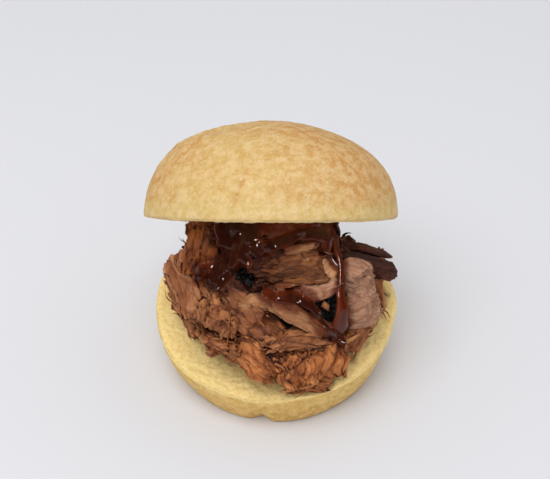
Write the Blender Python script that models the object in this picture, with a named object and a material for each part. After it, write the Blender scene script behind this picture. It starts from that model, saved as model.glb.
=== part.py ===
"""Beef brisket slider: a small round bread roll, cut through and opened like a clam, with a
heap of pulled brisket and thick barbecue sauce held between its halves.

Run it with blender --background --python part.py, or from Blender's text editor.
Units are metres and +Z is up. The mouth of the roll faces -Y. The origin is the centre of
the flat underside that the slider rests on.
"""

import math
import random

import bmesh
import bpy
from mathutils import Matrix, Vector, noise
from mathutils.bvhtree import BVHTree

MM = 0.001

# The roll's heel: a low bowl of bread with a sloping cut face.
HEEL_RADIUS = 36.1 * MM
HEEL_UNDERSIDE_RADIUS = 28.4 * MM
HEEL_FLAT_RADIUS = 27.2 * MM       # the flat that it rests on, inside its rounded lower edge
HEEL_HEIGHT = 19.6 * MM            # on the axis, from the underside to the cut face
HEEL_SIDE_HEIGHT = 21.0 * MM       # where the side has leaned out to the full radius
HEEL_SIDE_FULLNESS = 1.25          # exponent of the side's curve: 1 is a straight cone
HEEL_TILT = math.radians(10.0)     # the cut face drops towards the mouth
HEEL_ROLL = math.radians(-2.3)     # and rises towards +X
HEEL_SEGMENTS = 72
HEEL_LIP = 1.6 * MM

# The heel's rear right edge, behind the filling, sinks and draws in a little.
SAG_BEARING = math.radians(48)
SAG_WIDTH = math.radians(26)
SAG_DROP = 3.4 * MM
SAG_PULL = 3.6 * MM

# The roll's crown: a dome that leans back on the heap.
CROWN_RADIUS = 36.0 * MM
CROWN_HEIGHT = 27.5 * MM
CROWN_FULLNESS = 2.15              # exponent of the dome's superellipse: 2 is a plain ellipse
CROWN_CENTRE = Vector((-1.1, 4.0, 48.1)) * MM
CROWN_TILT = math.radians(-34.7)
CROWN_ROLL = math.radians(0.4)
CROWN_SEGMENTS = 56
CROWN_RINGS = 11
CROWN_LIP = 1.0 * MM

CONTACT_GAP = 0.3 * MM             # between the heap and each cut face

# Unevenness of the baked surface: how wide and how deep its swells are.
SWELL_WIDTH = 17.0 * MM
SWELL_DEPTH = 0.7 * MM
# Dents and bulges of the dome: direction from its centre, angular width in degrees, height.
DOME_DENTS = (
    (Vector((-0.44, -0.25, 0.90)), 14, -1.1 * MM),
    (Vector((-0.80, -0.10, 0.62)), 16, 0.9 * MM),
    (Vector((0.30, -0.20, 0.93)), 22, -0.3 * MM),
    (Vector((0.20, 0.75, 0.60)), 18, -0.9 * MM),
)
# The fold in the underside's front edge where the dough was tucked in.
FOLD_BEARING = math.radians(-97.5)
FOLD_WIDTH = math.radians(4.5)
FOLD_DEPTH = 2.2 * MM
FOLD_HEIGHT = 9.0 * MM

# The heap's outline, as stations from the heel's face (rise 0) to the crown's face (rise 1).
# Each is: rise, half width, half depth, middle's distance from the hinge, shift along X, taper.
# A taper over 1 draws the front of the outline to a point.
HEAP_STATIONS = (
    (0.0, 31.0, 30.5, 36.5, 3.0, 2.2),
    (0.2, 33.0, 31.5, 36.0, 0.5, 1.6),
    (0.5, 30.0, 31.0, 35.0, 0.0, 1.0),
    (0.8, 22.5, 27.5, 33.5, -2.0, 1.0),
    (1.0, 19.5, 25.0, 32.0, -2.5, 1.0),
)
REAR_SLIM = 0.42                   # share of its width that the heap loses at its rear right
CORE_INSET = 4.0 * MM
CORE_SEGMENTS = 24
CORE_LEVELS = 5

# The large torn pieces on the front and the shoulders. Each is: name, bearing round the heap
# from its front towards +X, rise, how proud its middle stands, then its length along the grain,
# width and depth, and the grain's slope in the face and its dip out of it.
# Lengths are in millimetres and angles in degrees.
LARGE_PIECES = (
    ("left shoulder", -53, 0.555, -2.6, 19, 12.5, 11, -38, 4),
    ("left flank strip", -58, 0.40, -1.5, 18, 6.5, 6, -42, 0),
    ("left foot", -53, 0.26, -2.2, 11, 6, 6, -34, 0),
    ("left back shoulder", -66, 0.68, -5.2, 13, 8, 7, -50, 0),
    ("top left", -50, 0.82, 1.2, 14, 10, 8, -64, 6),
    ("round cheek", -28, 0.44, -1.0, 11, 12, 10, 78, 25),
    ("middle shred bundle", -14, 0.50, -1.0, 18, 7, 6, -36, 3),
    ("upper shred bundle", -22, 0.60, -2.0, 14, 6, 6, -30, 0),
    ("front left rag", -25, 0.25, -0.5, 11, 6, 6, 14, 8),
    ("front middle", -9, 0.25, -0.5, 13, 9, 8, -38, 10),
    ("slanting slab", -4, 0.36, -0.5, 13, 7, 6, -32, 0),
    ("flat slab", 11, 0.36, 0.3, 17, 6.2, 7, 3, 0),
    ("front block", 16, 0.20, 0.3, 19, 10.5, 10, 4, 0),
    ("front foot", 12, 0.06, 0.6, 11.5, 7, 7, -14, 0),
    ("block's curled end", 30, 0.15, 0.0, 7, 6.5, 5, 80, 0),
    ("right foot", 41, 0.20, -1.2, 10, 8, 8, 60, 0),
    ("tan strip", 11, 0.503, 1.6, 17.5, 4.8, 4.2, -37, -1),
    ("tan flake", -8, 0.57, 1.3, 9, 4.6, 3.2, 8, 0),
    ("middle block", 11, 0.74, -2.5, 19, 12, 10, 6, 0),
    ("pale lump", 35, 0.70, 0.6, 6.5, 5.2, 5, 30, 0),
    ("pale roll", 26, 0.60, -0.5, 11, 6, 6, 6, 0),
    ("grey chunk", 50, 0.505, -0.6, 16, 9, 10, 82, 4),
    ("right dark slab", 67, 0.63, 2.4, 17, 5, 5.2, -45, 9),
    ("bark strip", 71, 0.747, 4.0, 20, 2.0, 2.0, -44, 12),
    ("right flank", 76, 0.36, -2.4, 16, 10, 8, 62, 0),
    ("right rear flank", 88, 0.42, -4.2, 16, 9, 8, -34, 0),
    ("right rear top", 84, 0.46, -6.0, 12, 7, 6, -20, 0),
    ("top right nub", 58, 0.925, 1.2, 6, 2.6, 2.6, 50, 0),
    ("top middle", 4, 0.92, -2.5, 17, 9, 9, 10, 0),
    ("top right block", 38, 0.885, -1.2, 15, 9, 8, -4, 0),
    ("top left back", -24, 0.90, -2.5, 16, 9, 9, -20, 0),
    ("dark hollow back", -15, 0.70, -4.5, 14, 10, 8, -12, 0),
    ("pocket back", 29, 0.48, -4.5, 12, 10, 8, 20, 0),
)

# The pieces round the sides and the back, set out by rule in rows at these rises. Each row is:
# rise, number of pieces, length, width and depth of a middling piece, and how proud its middle
# stands, in millimetres.
BACK_ROWS = (
    (0.18, 9, 14, 8, 7, -3.2),
    (0.50, 8, 15, 9, 7, -4.6),
    (0.78, 5, 13, 8, 6, -6.4),
)
BACK_FROM = math.radians(100)
BACK_TO = math.radians(266)
BACK_SINK = 0.26                   # how much lower the rows lie on the right side, in rise
BACK_INSET = 1.5                   # how much further in they lie at the sides, in millimetres
BACK_SEED = 7

# Small shreds that stick out of the heap: number, length, thickness in millimetres.
SHREDS = 16
SHRED_LENGTH = 10.0
SHRED_THICKNESS = 1.7
SHRED_SEED = 19

# Thick runs of sauce on the heap: a list of (bearing, rise, radius in millimetres) each.
SAUCE_RUNS = (
    ("right string", ((50, 0.95, 1.5), (47, 0.82, 1.4), (41, 0.68, 1.3), (36, 0.57, 1.5),
                      (33, 0.47, 2.0), (31, 0.38, 2.4))),
    ("middle run", ((-10, 0.63, 1.3), (2, 0.63, 1.6), (13, 0.60, 1.6), (20, 0.51, 1.3),
                    (25, 0.40, 1.1), (30, 0.35, 1.3))),
    ("left curtain", ((-34, 0.95, 2.4), (-31, 0.84, 2.6), (-29, 0.74, 2.2), (-28, 0.66, 1.6))),
    ("left inner curtain", ((-20, 0.96, 2.6), (-18, 0.86, 2.6), (-17, 0.78, 1.8))),
    ("top glaze", ((-6, 0.94, 1.8), (8, 0.93, 2.2), (22, 0.93, 2.4), (36, 0.90, 2.2),
                   (42, 0.82, 1.8))),
)
SAUCE_SIDES = 6


def clear_scene():
    for obj in list(bpy.data.objects):
        bpy.data.objects.remove(obj)


def material(name, colour, roughness):
    made = bpy.data.materials.new(name)
    made.use_nodes = True
    shader = made.node_tree.nodes["Principled BSDF"]
    shader.inputs["Base Color"].default_value = (*colour, 1.0)
    shader.inputs["Roughness"].default_value = roughness
    return made


def object_from(bm, name, finish=None, smooth=True):
    mesh = bpy.data.meshes.new(name)
    bm.to_mesh(mesh)
    bm.free()
    if smooth:
        mesh.shade_smooth()
        mesh.set_sharp_from_angle(angle=math.radians(40))
    if finish:
        mesh.materials.append(finish)
    obj = bpy.data.objects.new(name, mesh)
    bpy.context.scene.collection.objects.link(obj)
    return obj


def heel_face():
    """The plane of the heel's cut face: +Z is its normal, and it crosses the axis."""
    turn = Matrix.Rotation(HEEL_ROLL, 4, "Y") @ Matrix.Rotation(HEEL_TILT, 4, "X")
    return Matrix.Translation((0, 0, HEEL_HEIGHT)) @ turn


def crown_face():
    """The plane of the crown's cut face, with the dome on its +Z side."""
    turn = Matrix.Rotation(CROWN_ROLL, 4, "Y") @ Matrix.Rotation(CROWN_TILT, 4, "X")
    return Matrix.Translation(CROWN_CENTRE) @ turn


def rough(point):
    """Smooth noise between about -1 and 1 at a point."""
    return noise.noise(point, noise_basis="PERLIN_NEW")


def rough_vector(point):
    """Three smooth noises that don't follow each other."""
    return Vector([rough(point + Vector((17.3, 5.9, -8.1)) * axis) for axis in range(3)])


def ease(value, low, high):
    """0 below low, 1 above high, and an S-shaped step between."""
    share = min(max((value - low) / (high - low), 0.0), 1.0)
    return share * share * (3 - 2 * share)


def swell(point, seed):
    """The height of the baked surface's gentle swells at a point."""
    return SWELL_DEPTH * rough(point / SWELL_WIDTH + Vector((seed, 0, 0)))


def spun(profile, segments):
    """A closed body turned round Z from a profile of (radius, height), bottom to top."""
    bm = bmesh.new()
    points = [bm.verts.new((radius, 0, height)) for radius, height in profile]
    edges = [bm.edges.new(pair) for pair in zip(points, points[1:])]
    bmesh.ops.spin(
        bm, geom=points + edges, cent=(0, 0, 0), axis=(0, 0, 1),
        angle=math.tau, steps=segments, use_merge=True,
    )
    bmesh.ops.remove_doubles(bm, verts=bm.verts, dist=0.01 * MM)
    bmesh.ops.recalc_face_normals(bm, faces=bm.faces)
    return bm


def round_rim(bm, normal, distance, width):
    """Bevels the sharp rim round the cut face that lies on a plane."""
    rim = [
        edge for edge in bm.edges
        if all(abs(v.co.dot(normal) - distance) < 0.01 * MM for v in edge.verts)
        and edge.calc_face_angle(0) > math.radians(30)
    ]
    bmesh.ops.bevel(
        bm, geom=rim, offset=width, offset_type="OFFSET", segments=2, profile=0.5,
        affect="EDGES", material=-1,
    )


def heel_profile():
    """The underside, the side as a plain upright wall, and the cut face as a level one."""
    steps = 7
    profile = [(0, 0), (HEEL_FLAT_RADIUS * 0.6, 0), (HEEL_FLAT_RADIUS, 0)]
    for step in range(1, steps + 1):
        profile.append((HEEL_RADIUS, HEEL_HEIGHT * (step - 0.6) / (steps - 0.6)))
    return profile + [(0, HEEL_HEIGHT)]


def heel_side(height):
    """How far the heel's side has leaned out at a height above the underside."""
    share = min(height / HEEL_SIDE_HEIGHT, 1)
    lean = (1 - (1 - share) ** HEEL_SIDE_FULLNESS) ** (1 / HEEL_SIDE_FULLNESS)
    return HEEL_UNDERSIDE_RADIUS + (HEEL_RADIUS - HEEL_UNDERSIDE_RADIUS) * lean


def fold(co):
    """How far the tucked fold draws the heel's side in at a point."""
    bearing = math.atan2(co.y, co.x) - FOLD_BEARING
    across = math.exp(-((bearing / FOLD_WIDTH) ** 2))
    lobes = 0.25 * math.exp(-((bearing / (5 * FOLD_WIDTH)) ** 2))
    up = max(0.0, 1 - co.z / FOLD_HEIGHT)
    return FOLD_DEPTH * up * (across - lobes)


def sagged(co):
    """A point of the heel, once its rear right edge has sunk and drawn in."""
    bearing = math.atan2(co.y, co.x) - SAG_BEARING
    share = math.exp(-((bearing / SAG_WIDTH) ** 2)) * co.z / HEEL_HEIGHT
    share *= (co.xy.length / HEEL_RADIUS) ** 2
    outward = Vector((co.x, co.y, 0)).normalized()
    return co - (outward * SAG_PULL + Vector((0, 0, SAG_DROP))) * share


def build_heel():
    bm = spun(heel_profile(), HEEL_SEGMENTS)
    face = heel_face()
    normal = face.to_3x3() @ Vector((0, 0, 1))
    for v in bm.verts:
        if v.co.xy.length < 0.9 * HEEL_FLAT_RADIUS:
            continue
        outward = Vector((v.co.x, v.co.y, 0)).normalized()
        level = v.co.z / HEEL_HEIGHT
        flat_edge = v.co.z == 0
        for _ in range(4):
            cut_height = HEEL_HEIGHT - (normal.x * v.co.x + normal.y * v.co.y) / normal.z
            height = level * cut_height
            radius = HEEL_FLAT_RADIUS if flat_edge else heel_side(height)
            place = outward * radius + Vector((0, 0, height))
            v.co = place + outward * (swell(place, 3.0) - fold(place))
    round_rim(bm, normal, face.translation.dot(normal), HEEL_LIP)
    for v in bm.verts:
        v.co = sagged(v.co)
    object_from(bm, "heel", material("baked heel", (0.62, 0.40, 0.16), 0.65))


def dome_dent(direction):
    """The dome's own dents and bulges in one direction from its centre."""
    total = 0.0
    for towards, width, height in DOME_DENTS:
        apart = math.degrees(direction.angle(towards))
        total += height * math.exp(-((apart / width) ** 2))
    return total


def crown_profile():
    """The dome as a superellipse, from the middle of the cut face out, up and back."""
    profile = [(0, 0), (CROWN_RADIUS * 0.6, 0)]
    for step in range(CROWN_RINGS):
        turn = math.pi / 2 * step / CROWN_RINGS
        profile.append((
            CROWN_RADIUS * math.cos(turn) ** (2 / CROWN_FULLNESS),
            CROWN_HEIGHT * math.sin(turn) ** (2 / CROWN_FULLNESS),
        ))
    return profile + [(0, CROWN_HEIGHT)]


def build_crown():
    bm = spun(crown_profile(), CROWN_SEGMENTS)
    for v in bm.verts:
        if v.co.length < 0.9 * CROWN_RADIUS and v.co.z < 0.01 * MM:
            continue
        outward = v.co.normalized()
        height = swell(v.co, 8.0) + dome_dent(outward)
        if v.co.z < 0.01 * MM:
            outward = Vector((outward.x, outward.y, 0))
        v.co += outward * height
    round_rim(bm, Vector((0, 0, 1)), 0.0, CROWN_LIP)
    crown = object_from(bm, "crown", material("baked crown", (0.68, 0.43, 0.16), 0.6))
    crown.matrix_world = crown_face()


def hinge():
    """Where the two cut planes meet behind the roll, in the plane X = 0."""
    heel_slope = math.tan(HEEL_TILT)
    crown_slope = math.tan(CROWN_TILT)
    crown_height = CROWN_CENTRE.z - crown_slope * CROWN_CENTRE.y
    y = (crown_height - HEEL_HEIGHT) / (heel_slope - crown_slope)
    return Vector((0, y, HEEL_HEIGHT + heel_slope * y))


def station(rise):
    """The heap's outline at a rise: half width, half depth, middle, shift and taper."""
    rise = min(max(rise, 0.0), 1.0)
    for low, high in zip(HEAP_STATIONS, HEAP_STATIONS[1:]):
        if rise <= high[0]:
            share = (rise - low[0]) / (high[0] - low[0])
            return [a + (b - a) * share for a, b in zip(low[1:], high[1:])]
    return list(HEAP_STATIONS[-1][1:])


def heap_point(bearing, rise, proud=0.0):
    """A point of the heap's skin. The bearing runs from the front towards +X, the rise from
    the heel's face to the crown's, and proud is the distance outside the skin."""
    half_width, half_depth, middle, shift, taper = station(rise)
    lean = -HEEL_TILT + rise * (HEEL_TILT - CROWN_TILT)
    forward = math.cos(bearing)
    rear = ease(-forward, -0.1, 0.4) * max(0.0, math.sin(bearing)) * ease(rise, 0.1, 0.5)
    half_width *= 1 - REAR_SLIM * rear
    if forward > 0:
        forward **= taper
    out = middle * MM + (half_depth * MM + proud) * forward
    x = shift * MM + (half_width * MM + proud) * math.sin(bearing)
    corner = hinge()
    roll = -math.tan(HEEL_ROLL) * (1 - rise) - math.tan(CROWN_ROLL) * rise
    return Vector((
        x, corner.y - out * math.cos(lean), corner.z + out * math.sin(lean) + roll * x,
    ))


def skin_frame(bearing, rise, slope, dip):
    """Axes at a point of the heap's skin: X along the grain, Z out of the skin."""
    small = 0.02
    across = heap_point(bearing + small, rise) - heap_point(bearing - small, rise)
    up = heap_point(bearing, rise + small) - heap_point(bearing, rise - small)
    out = across.cross(up).normalized()
    across.normalize()
    up = out.cross(across)
    grain = across * math.cos(slope) + up * math.sin(slope)
    grain = (grain * math.cos(dip) + out * math.sin(dip)).normalized()
    side = out.cross(grain).normalized()
    return Matrix((grain, side, grain.cross(side))).transposed()


def piece_form(u, size, seed):
    """Where a point u of a cube's skin goes on a torn piece of meat with its grain along X."""
    start = Vector((seed * 7.31, seed * 3.17, seed * 1.93))
    p = u.lerp(u.normalized() * 1.25, 0.45)
    narrowing = 1 + 0.45 * rough(Vector((p.x * 0.8, 0, 0)) + start)
    lumps = rough_vector(p * 0.9 + start) * 0.3
    bend = 0.35 * rough(start * 1.7)
    q = Vector((p.x, p.y * narrowing, p.z * narrowing - bend * p.x * p.x)) + lumps
    return Vector((q.x * size.x, q.y * size.y, q.z * size.z)) * 0.5


def build_piece(name, place, size, seed, cuts):
    """One torn piece: a cube divided and pushed into shape, then set in place."""
    bm = bmesh.new()
    bmesh.ops.create_cube(bm, size=2)
    bmesh.ops.subdivide_edges(bm, edges=bm.edges, cuts=cuts, use_grid_fill=True)
    for v in bm.verts:
        v.co = piece_form(v.co.copy(), size, seed)
    bmesh.ops.triangulate(bm, faces=bm.faces)
    bm.transform(place)
    return object_from(bm, name, smooth=False)


def large_pieces():
    made = []
    for seed, row in enumerate(LARGE_PIECES, 1):
        name, bearing, rise, proud, length, width, depth, slope, dip = row
        bearing = math.radians(bearing)
        turn = skin_frame(bearing, rise, math.radians(slope), math.radians(dip))
        place = Matrix.Translation(heap_point(bearing, rise, proud * MM)) @ turn.to_4x4()
        size = Vector((length, width, depth)) * MM
        made.append(build_piece(name, place, size, seed, 2))
    return made


def back_pieces():
    """Rows of pieces round the sides and the back, smaller where the halves close up."""
    chance = random.Random(BACK_SEED)
    made = []
    for rise, count, length, width, depth, proud in BACK_ROWS:
        for index in range(count):
            share = (index + 0.5 + chance.uniform(-0.2, 0.2)) / count
            bearing = BACK_FROM + (BACK_TO - BACK_FROM) * share
            closing = 1 - 0.45 * max(0.0, -math.cos(bearing))
            stretch = chance.uniform(0.8, 1.2)
            size = Vector((length * stretch, width * closing / stretch, depth * closing)) * MM
            slope = math.radians(chance.uniform(-50, 50))
            sunk = rise - BACK_SINK * max(0.0, math.sin(bearing))
            turn = skin_frame(bearing, sunk, slope, 0)
            inset = proud - BACK_INSET * abs(math.sin(bearing))
            middle = heap_point(bearing, sunk, (inset + chance.uniform(-0.8, 0.8)) * MM)
            place = Matrix.Translation(middle) @ turn.to_4x4()
            made.append(build_piece(f"back piece {len(made)}", place, size, 40 + len(made), 1))
    return made


def shreds():
    """Thin shreds that lie on the heap and stick out of it a little."""
    chance = random.Random(SHRED_SEED)
    made = []
    for index in range(SHREDS):
        bearing = math.tau * (index + chance.uniform(0, 0.8)) / SHREDS
        forward = max(0.0, math.cos(bearing))
        closing = max(0.0, -math.cos(bearing))
        rise = chance.uniform(0.15, 0.8)
        slope = math.radians(chance.uniform(-70, 70))
        dip = math.radians(chance.uniform(0, 22))
        turn = skin_frame(bearing, rise, slope, dip)
        length = SHRED_LENGTH * chance.uniform(0.7, 1.3) * (1 - 0.5 * closing)
        size = Vector((length, SHRED_THICKNESS, SHRED_THICKNESS)) * MM
        proud = (chance.uniform(0.2, 1.2) - 2.5 * (1 - forward)) * MM
        place = Matrix.Translation(heap_point(bearing, rise, proud)) @ turn.to_4x4()
        made.append(build_piece(f"shred {index}", place, size, 80 + index, 1))
    return made


def build_core():
    """The middle of the heap: a closed barrel inside the skin, between the cut faces."""
    bm = bmesh.new()
    bmesh.ops.create_cone(
        bm, cap_ends=True, segments=CORE_SEGMENTS, radius1=1, radius2=1, depth=1,
    )
    uprights = [e for e in bm.edges if abs(e.verts[0].co.z - e.verts[1].co.z) > 0.5]
    bmesh.ops.subdivide_edges(bm, edges=uprights, cuts=CORE_LEVELS)
    for v in bm.verts:
        bearing = math.atan2(v.co.x, -v.co.y)
        v.co = heap_point(bearing, v.co.z + 0.5, -CORE_INSET)
    bmesh.ops.triangulate(bm, faces=bm.faces)
    bmesh.ops.recalc_face_normals(bm, faces=bm.faces)
    return object_from(bm, "brisket", smooth=False)


def skin_tree(objects):
    """One search tree over the surfaces of several objects."""
    points, faces = [], []
    for obj in objects:
        start = len(points)
        points += [v.co.copy() for v in obj.data.vertices]
        faces += [[start + i for i in face.vertices] for face in obj.data.polygons]
    return BVHTree.FromPolygons(points, faces)


def drop_on(tree, bearing, rise, sink):
    """Where something dropped straight onto the heap's skin comes to rest."""
    start = heap_point(bearing, rise, 15 * MM)
    inward = (heap_point(bearing, rise, -5 * MM) - start).normalized()
    hit = tree.ray_cast(start, inward)[0] or heap_point(bearing, rise)
    return hit + inward * sink


def sauce_run(name, stations, tree):
    """A thick run of sauce: a tube of changing width laid over the pieces."""
    curve = bpy.data.curves.new(name, "CURVE")
    curve.dimensions = "3D"
    curve.bevel_depth = 1.0
    curve.bevel_resolution = (SAUCE_SIDES - 4) // 2
    curve.use_fill_caps = True
    between = 2
    spline = curve.splines.new("POLY")
    spline.points.add(between * (len(stations) - 1))
    for index, point in enumerate(spline.points):
        low = min(index // between, len(stations) - 2)
        share = index / between - low
        bearing, rise, radius = (
            a + (b - a) * share for a, b in zip(stations[low], stations[low + 1])
        )
        place = drop_on(tree, math.radians(bearing), rise, 0.35 * radius * MM)
        point.co = (*place, 1)
        point.radius = radius * MM
    run = bpy.data.objects.new(name, curve)
    bpy.context.scene.collection.objects.link(run)
    mesh = bpy.data.meshes.new_from_object(run)
    bpy.data.objects.remove(run)
    bm = bmesh.new()
    bm.from_mesh(mesh)
    bmesh.ops.remove_doubles(bm, verts=bm.verts, dist=0.001 * MM)
    bmesh.ops.recalc_face_normals(bm, faces=bm.faces)
    return object_from(bm, name, smooth=False)


def fuse(body, pieces):
    """Joins the pieces to the body by one Boolean union, and removes them."""
    group = bpy.data.collections.new("pieces of the heap")
    bpy.context.scene.collection.children.link(group)
    for piece in pieces:
        bpy.context.scene.collection.objects.unlink(piece)
        group.objects.link(piece)
    union = body.modifiers.new("union", "BOOLEAN")
    union.operation = "UNION"
    union.operand_type = "COLLECTION"
    union.collection = group
    union.solver = "MANIFOLD"
    joined = bpy.data.meshes.new_from_object(
        body.evaluated_get(bpy.context.evaluated_depsgraph_get())
    )
    body.modifiers.clear()
    for piece in pieces:
        bpy.data.objects.remove(piece)
    bpy.data.collections.remove(group)
    return joined


def keep_between_faces(bm):
    """Trims what is pressed flat against the two cut faces, a hair clear of them."""
    for face, side in ((heel_face(), -1), (crown_face(), 1)):
        normal = face.to_3x3() @ Vector((0, 0, side))
        cut = bmesh.ops.bisect_plane(
            bm, geom=list(bm.verts) + list(bm.edges) + list(bm.faces), dist=0.0001 * MM,
            plane_co=face.translation - normal * CONTACT_GAP, plane_no=normal,
            clear_outer=True,
        )
        edges = [g for g in cut["geom_cut"] if isinstance(g, bmesh.types.BMEdge)]
        bmesh.ops.triangle_fill(bm, edges=edges, use_beauty=True, normal=normal)
        bmesh.ops.triangulate(bm, faces=bm.faces)
    bmesh.ops.recalc_face_normals(bm, faces=bm.faces)


def shells(bm):
    """The separate closed shells of a mesh, as lists of faces, largest first."""
    found = []
    seen = set()
    for first in bm.faces:
        if first in seen:
            continue
        seen.add(first)
        shell = [first]
        for face in shell:
            for edge in face.edges:
                for other in edge.link_faces:
                    if other not in seen:
                        seen.add(other)
                        shell.append(other)
        found.append(shell)
    return sorted(found, key=len, reverse=True)


def build_brisket():
    core = build_core()
    pieces = large_pieces() + back_pieces()
    tree = skin_tree([core] + pieces)
    pieces += shreds()
    pieces += [sauce_run(name, stations, tree) for name, stations in SAUCE_RUNS]
    joined = fuse(core, pieces)
    bm = bmesh.new()
    bm.from_mesh(joined)
    bmesh.ops.triangulate(bm, faces=bm.faces)
    keep_between_faces(bm)
    for hollow_or_scrap in shells(bm)[1:]:
        bmesh.ops.delete(bm, geom=hollow_or_scrap, context="FACES")
    bm.to_mesh(core.data)
    bm.free()
    core.data.materials.append(material("pulled brisket", (0.20, 0.075, 0.035), 0.5))


clear_scene()
build_heel()
build_crown()
build_brisket()
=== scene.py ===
"""Beef brisket slider: a small round bread roll, cut through and opened like a clam, with a
heap of pulled brisket and thick barbecue sauce held between its halves.

Lengths are in metres. The mouth of the roll faces -Y, and the slider rests on Z = 0.
"""

import math
import random

import bmesh
import bpy
import numpy
from mathutils import Matrix, Vector, noise
from mathutils.bvhtree import BVHTree


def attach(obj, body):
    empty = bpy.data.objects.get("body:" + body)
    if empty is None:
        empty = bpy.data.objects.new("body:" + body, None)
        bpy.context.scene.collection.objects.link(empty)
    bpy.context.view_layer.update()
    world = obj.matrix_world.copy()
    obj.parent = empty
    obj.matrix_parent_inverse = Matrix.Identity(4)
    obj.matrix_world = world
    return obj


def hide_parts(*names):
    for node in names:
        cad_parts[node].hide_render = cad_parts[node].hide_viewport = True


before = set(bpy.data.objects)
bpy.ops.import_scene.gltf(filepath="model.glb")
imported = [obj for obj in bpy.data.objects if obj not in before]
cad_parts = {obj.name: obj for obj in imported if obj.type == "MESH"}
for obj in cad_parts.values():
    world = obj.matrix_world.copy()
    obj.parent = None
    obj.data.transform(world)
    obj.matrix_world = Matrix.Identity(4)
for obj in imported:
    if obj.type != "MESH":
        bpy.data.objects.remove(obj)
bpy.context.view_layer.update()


# ---- The heel ------------------------------------------------------------------------------
# The roll's lower half: soft wheat bread with a thin golden crust, baked on a flat sheet and
# opened by a sloping cut. Its side is tucked under in a fold at the front. The cut face is
# pale open crumb that the meat has pressed down and stained with juice, and it is painted
# darker with shade where it meets the meat.

MM = 0.001
HEEL_RADIUS = 36.1 * MM
HEEL_UNDERSIDE_RADIUS = 28.4 * MM
HEEL_FLAT_RADIUS = 27.2 * MM
HEEL_HEIGHT = 19.6 * MM
HEEL_SIDE_HEIGHT = 21.0 * MM
HEEL_SIDE_FULLNESS = 1.25
HEEL_TILT = math.radians(10.0)
HEEL_ROLL = math.radians(-2.3)
HEEL_TURNS = 400                   # steps round the heel, about 0.6 mm each at its rim
HEEL_SIDE_STEPS = 36
HEEL_FACE_STEPS = 76
HEEL_LIP = 1.5 * MM                # how far the lip's rounding reaches in over the cut face
FOLD_BEARING = math.radians(-97.5)
FOLD_WIDTH = math.radians(4.5)
FOLD_DEPTH = 2.2 * MM
FOLD_HEIGHT = 9.0 * MM
# The heel's rear right edge, behind the filling, sinks and draws in a little.
SAG_BEARING = math.radians(48)
SAG_WIDTH = math.radians(26)
SAG_DROP = 3.4 * MM
SAG_PULL = 3.6 * MM
SWELL_WIDTH = 17.0 * MM
SWELL_DEPTH = 0.7 * MM
LIP_REACH = 1.9                    # how far a lip's rounding reaches, in times its wear
HEEL_LIP_DROP = 0.55               # how far a worn lip drops, in times its wear
# The tints darken the pores of the crust and of the crumb. The stain is the meat's juice, together
# with painted shade where the bread meets the meat.
CRUST_PORE_TINT = (0.84, 0.74, 0.58)
CRUMB_PORE_TINT = (0.90, 0.83, 0.66)
JUICE_STAIN_AND_SHADE = (0.42, 0.25, 0.09)
HEEL_STAIN_AND_SHADE_REACH = 2.2 * MM        # how far the juice stain and painted shade reach into the bread from the meat
CROWN_STAIN_AND_SHADE_REACH = 3.0 * MM
BREAD_BUMP = 0.18 * MM


def rough(point):
    """Smooth noise between about -1 and 1 at a point."""
    return noise.noise(point, noise_basis="PERLIN_NEW")


def rough_vector(point):
    """Three smooth noises that don't follow each other."""
    return Vector([rough(point + Vector((17.3, 5.9, -8.1)) * axis) for axis in range(3)])


def ease(value, low, high):
    """0 below low, 1 above high, and an S-shaped step between."""
    share = min(max((value - low) / (high - low), 0.0), 1.0)
    return share * share * (3 - 2 * share)


def swell(point, seed):
    """The height of the baked surface's gentle swells at a point."""
    return SWELL_DEPTH * rough(point / SWELL_WIDTH + Vector((seed, 0, 0)))


def spun(profile, turns):
    """A closed body turned round Z from a profile of (radius, height), bottom to top."""
    bm = bmesh.new()
    points = [bm.verts.new((radius, 0, height)) for radius, height in profile]
    edges = [bm.edges.new(pair) for pair in zip(points, points[1:])]
    bmesh.ops.spin(
        bm, geom=points + edges, cent=(0, 0, 0), axis=(0, 0, 1),
        angle=math.tau, steps=turns, use_merge=True,
    )
    bmesh.ops.remove_doubles(bm, verts=bm.verts, dist=0.001 * MM)
    bmesh.ops.recalc_face_normals(bm, faces=bm.faces)
    return bm


def finished(bm, name, finish, node, marks=None):
    """Makes a piece of a bmesh, with its material, its marks and its place in the frame."""
    mesh = bpy.data.meshes.new(name)
    bm.to_mesh(mesh)
    bm.free()
    mesh.shade_smooth()
    mesh.materials.append(finish)
    for mark, values in (marks or {}).items():
        if isinstance(values[0], Vector):
            layer = mesh.attributes.new(mark, "FLOAT_VECTOR", "POINT")
            layer.data.foreach_set("vector", [part for value in values for part in value])
        else:
            layer = mesh.attributes.new(mark, "FLOAT", "POINT")
            layer.data.foreach_set("value", values)
    piece = bpy.data.objects.new(name, mesh)
    bpy.context.scene.collection.objects.link(piece)
    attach(piece, "root")
    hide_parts(node)
    return piece


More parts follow.
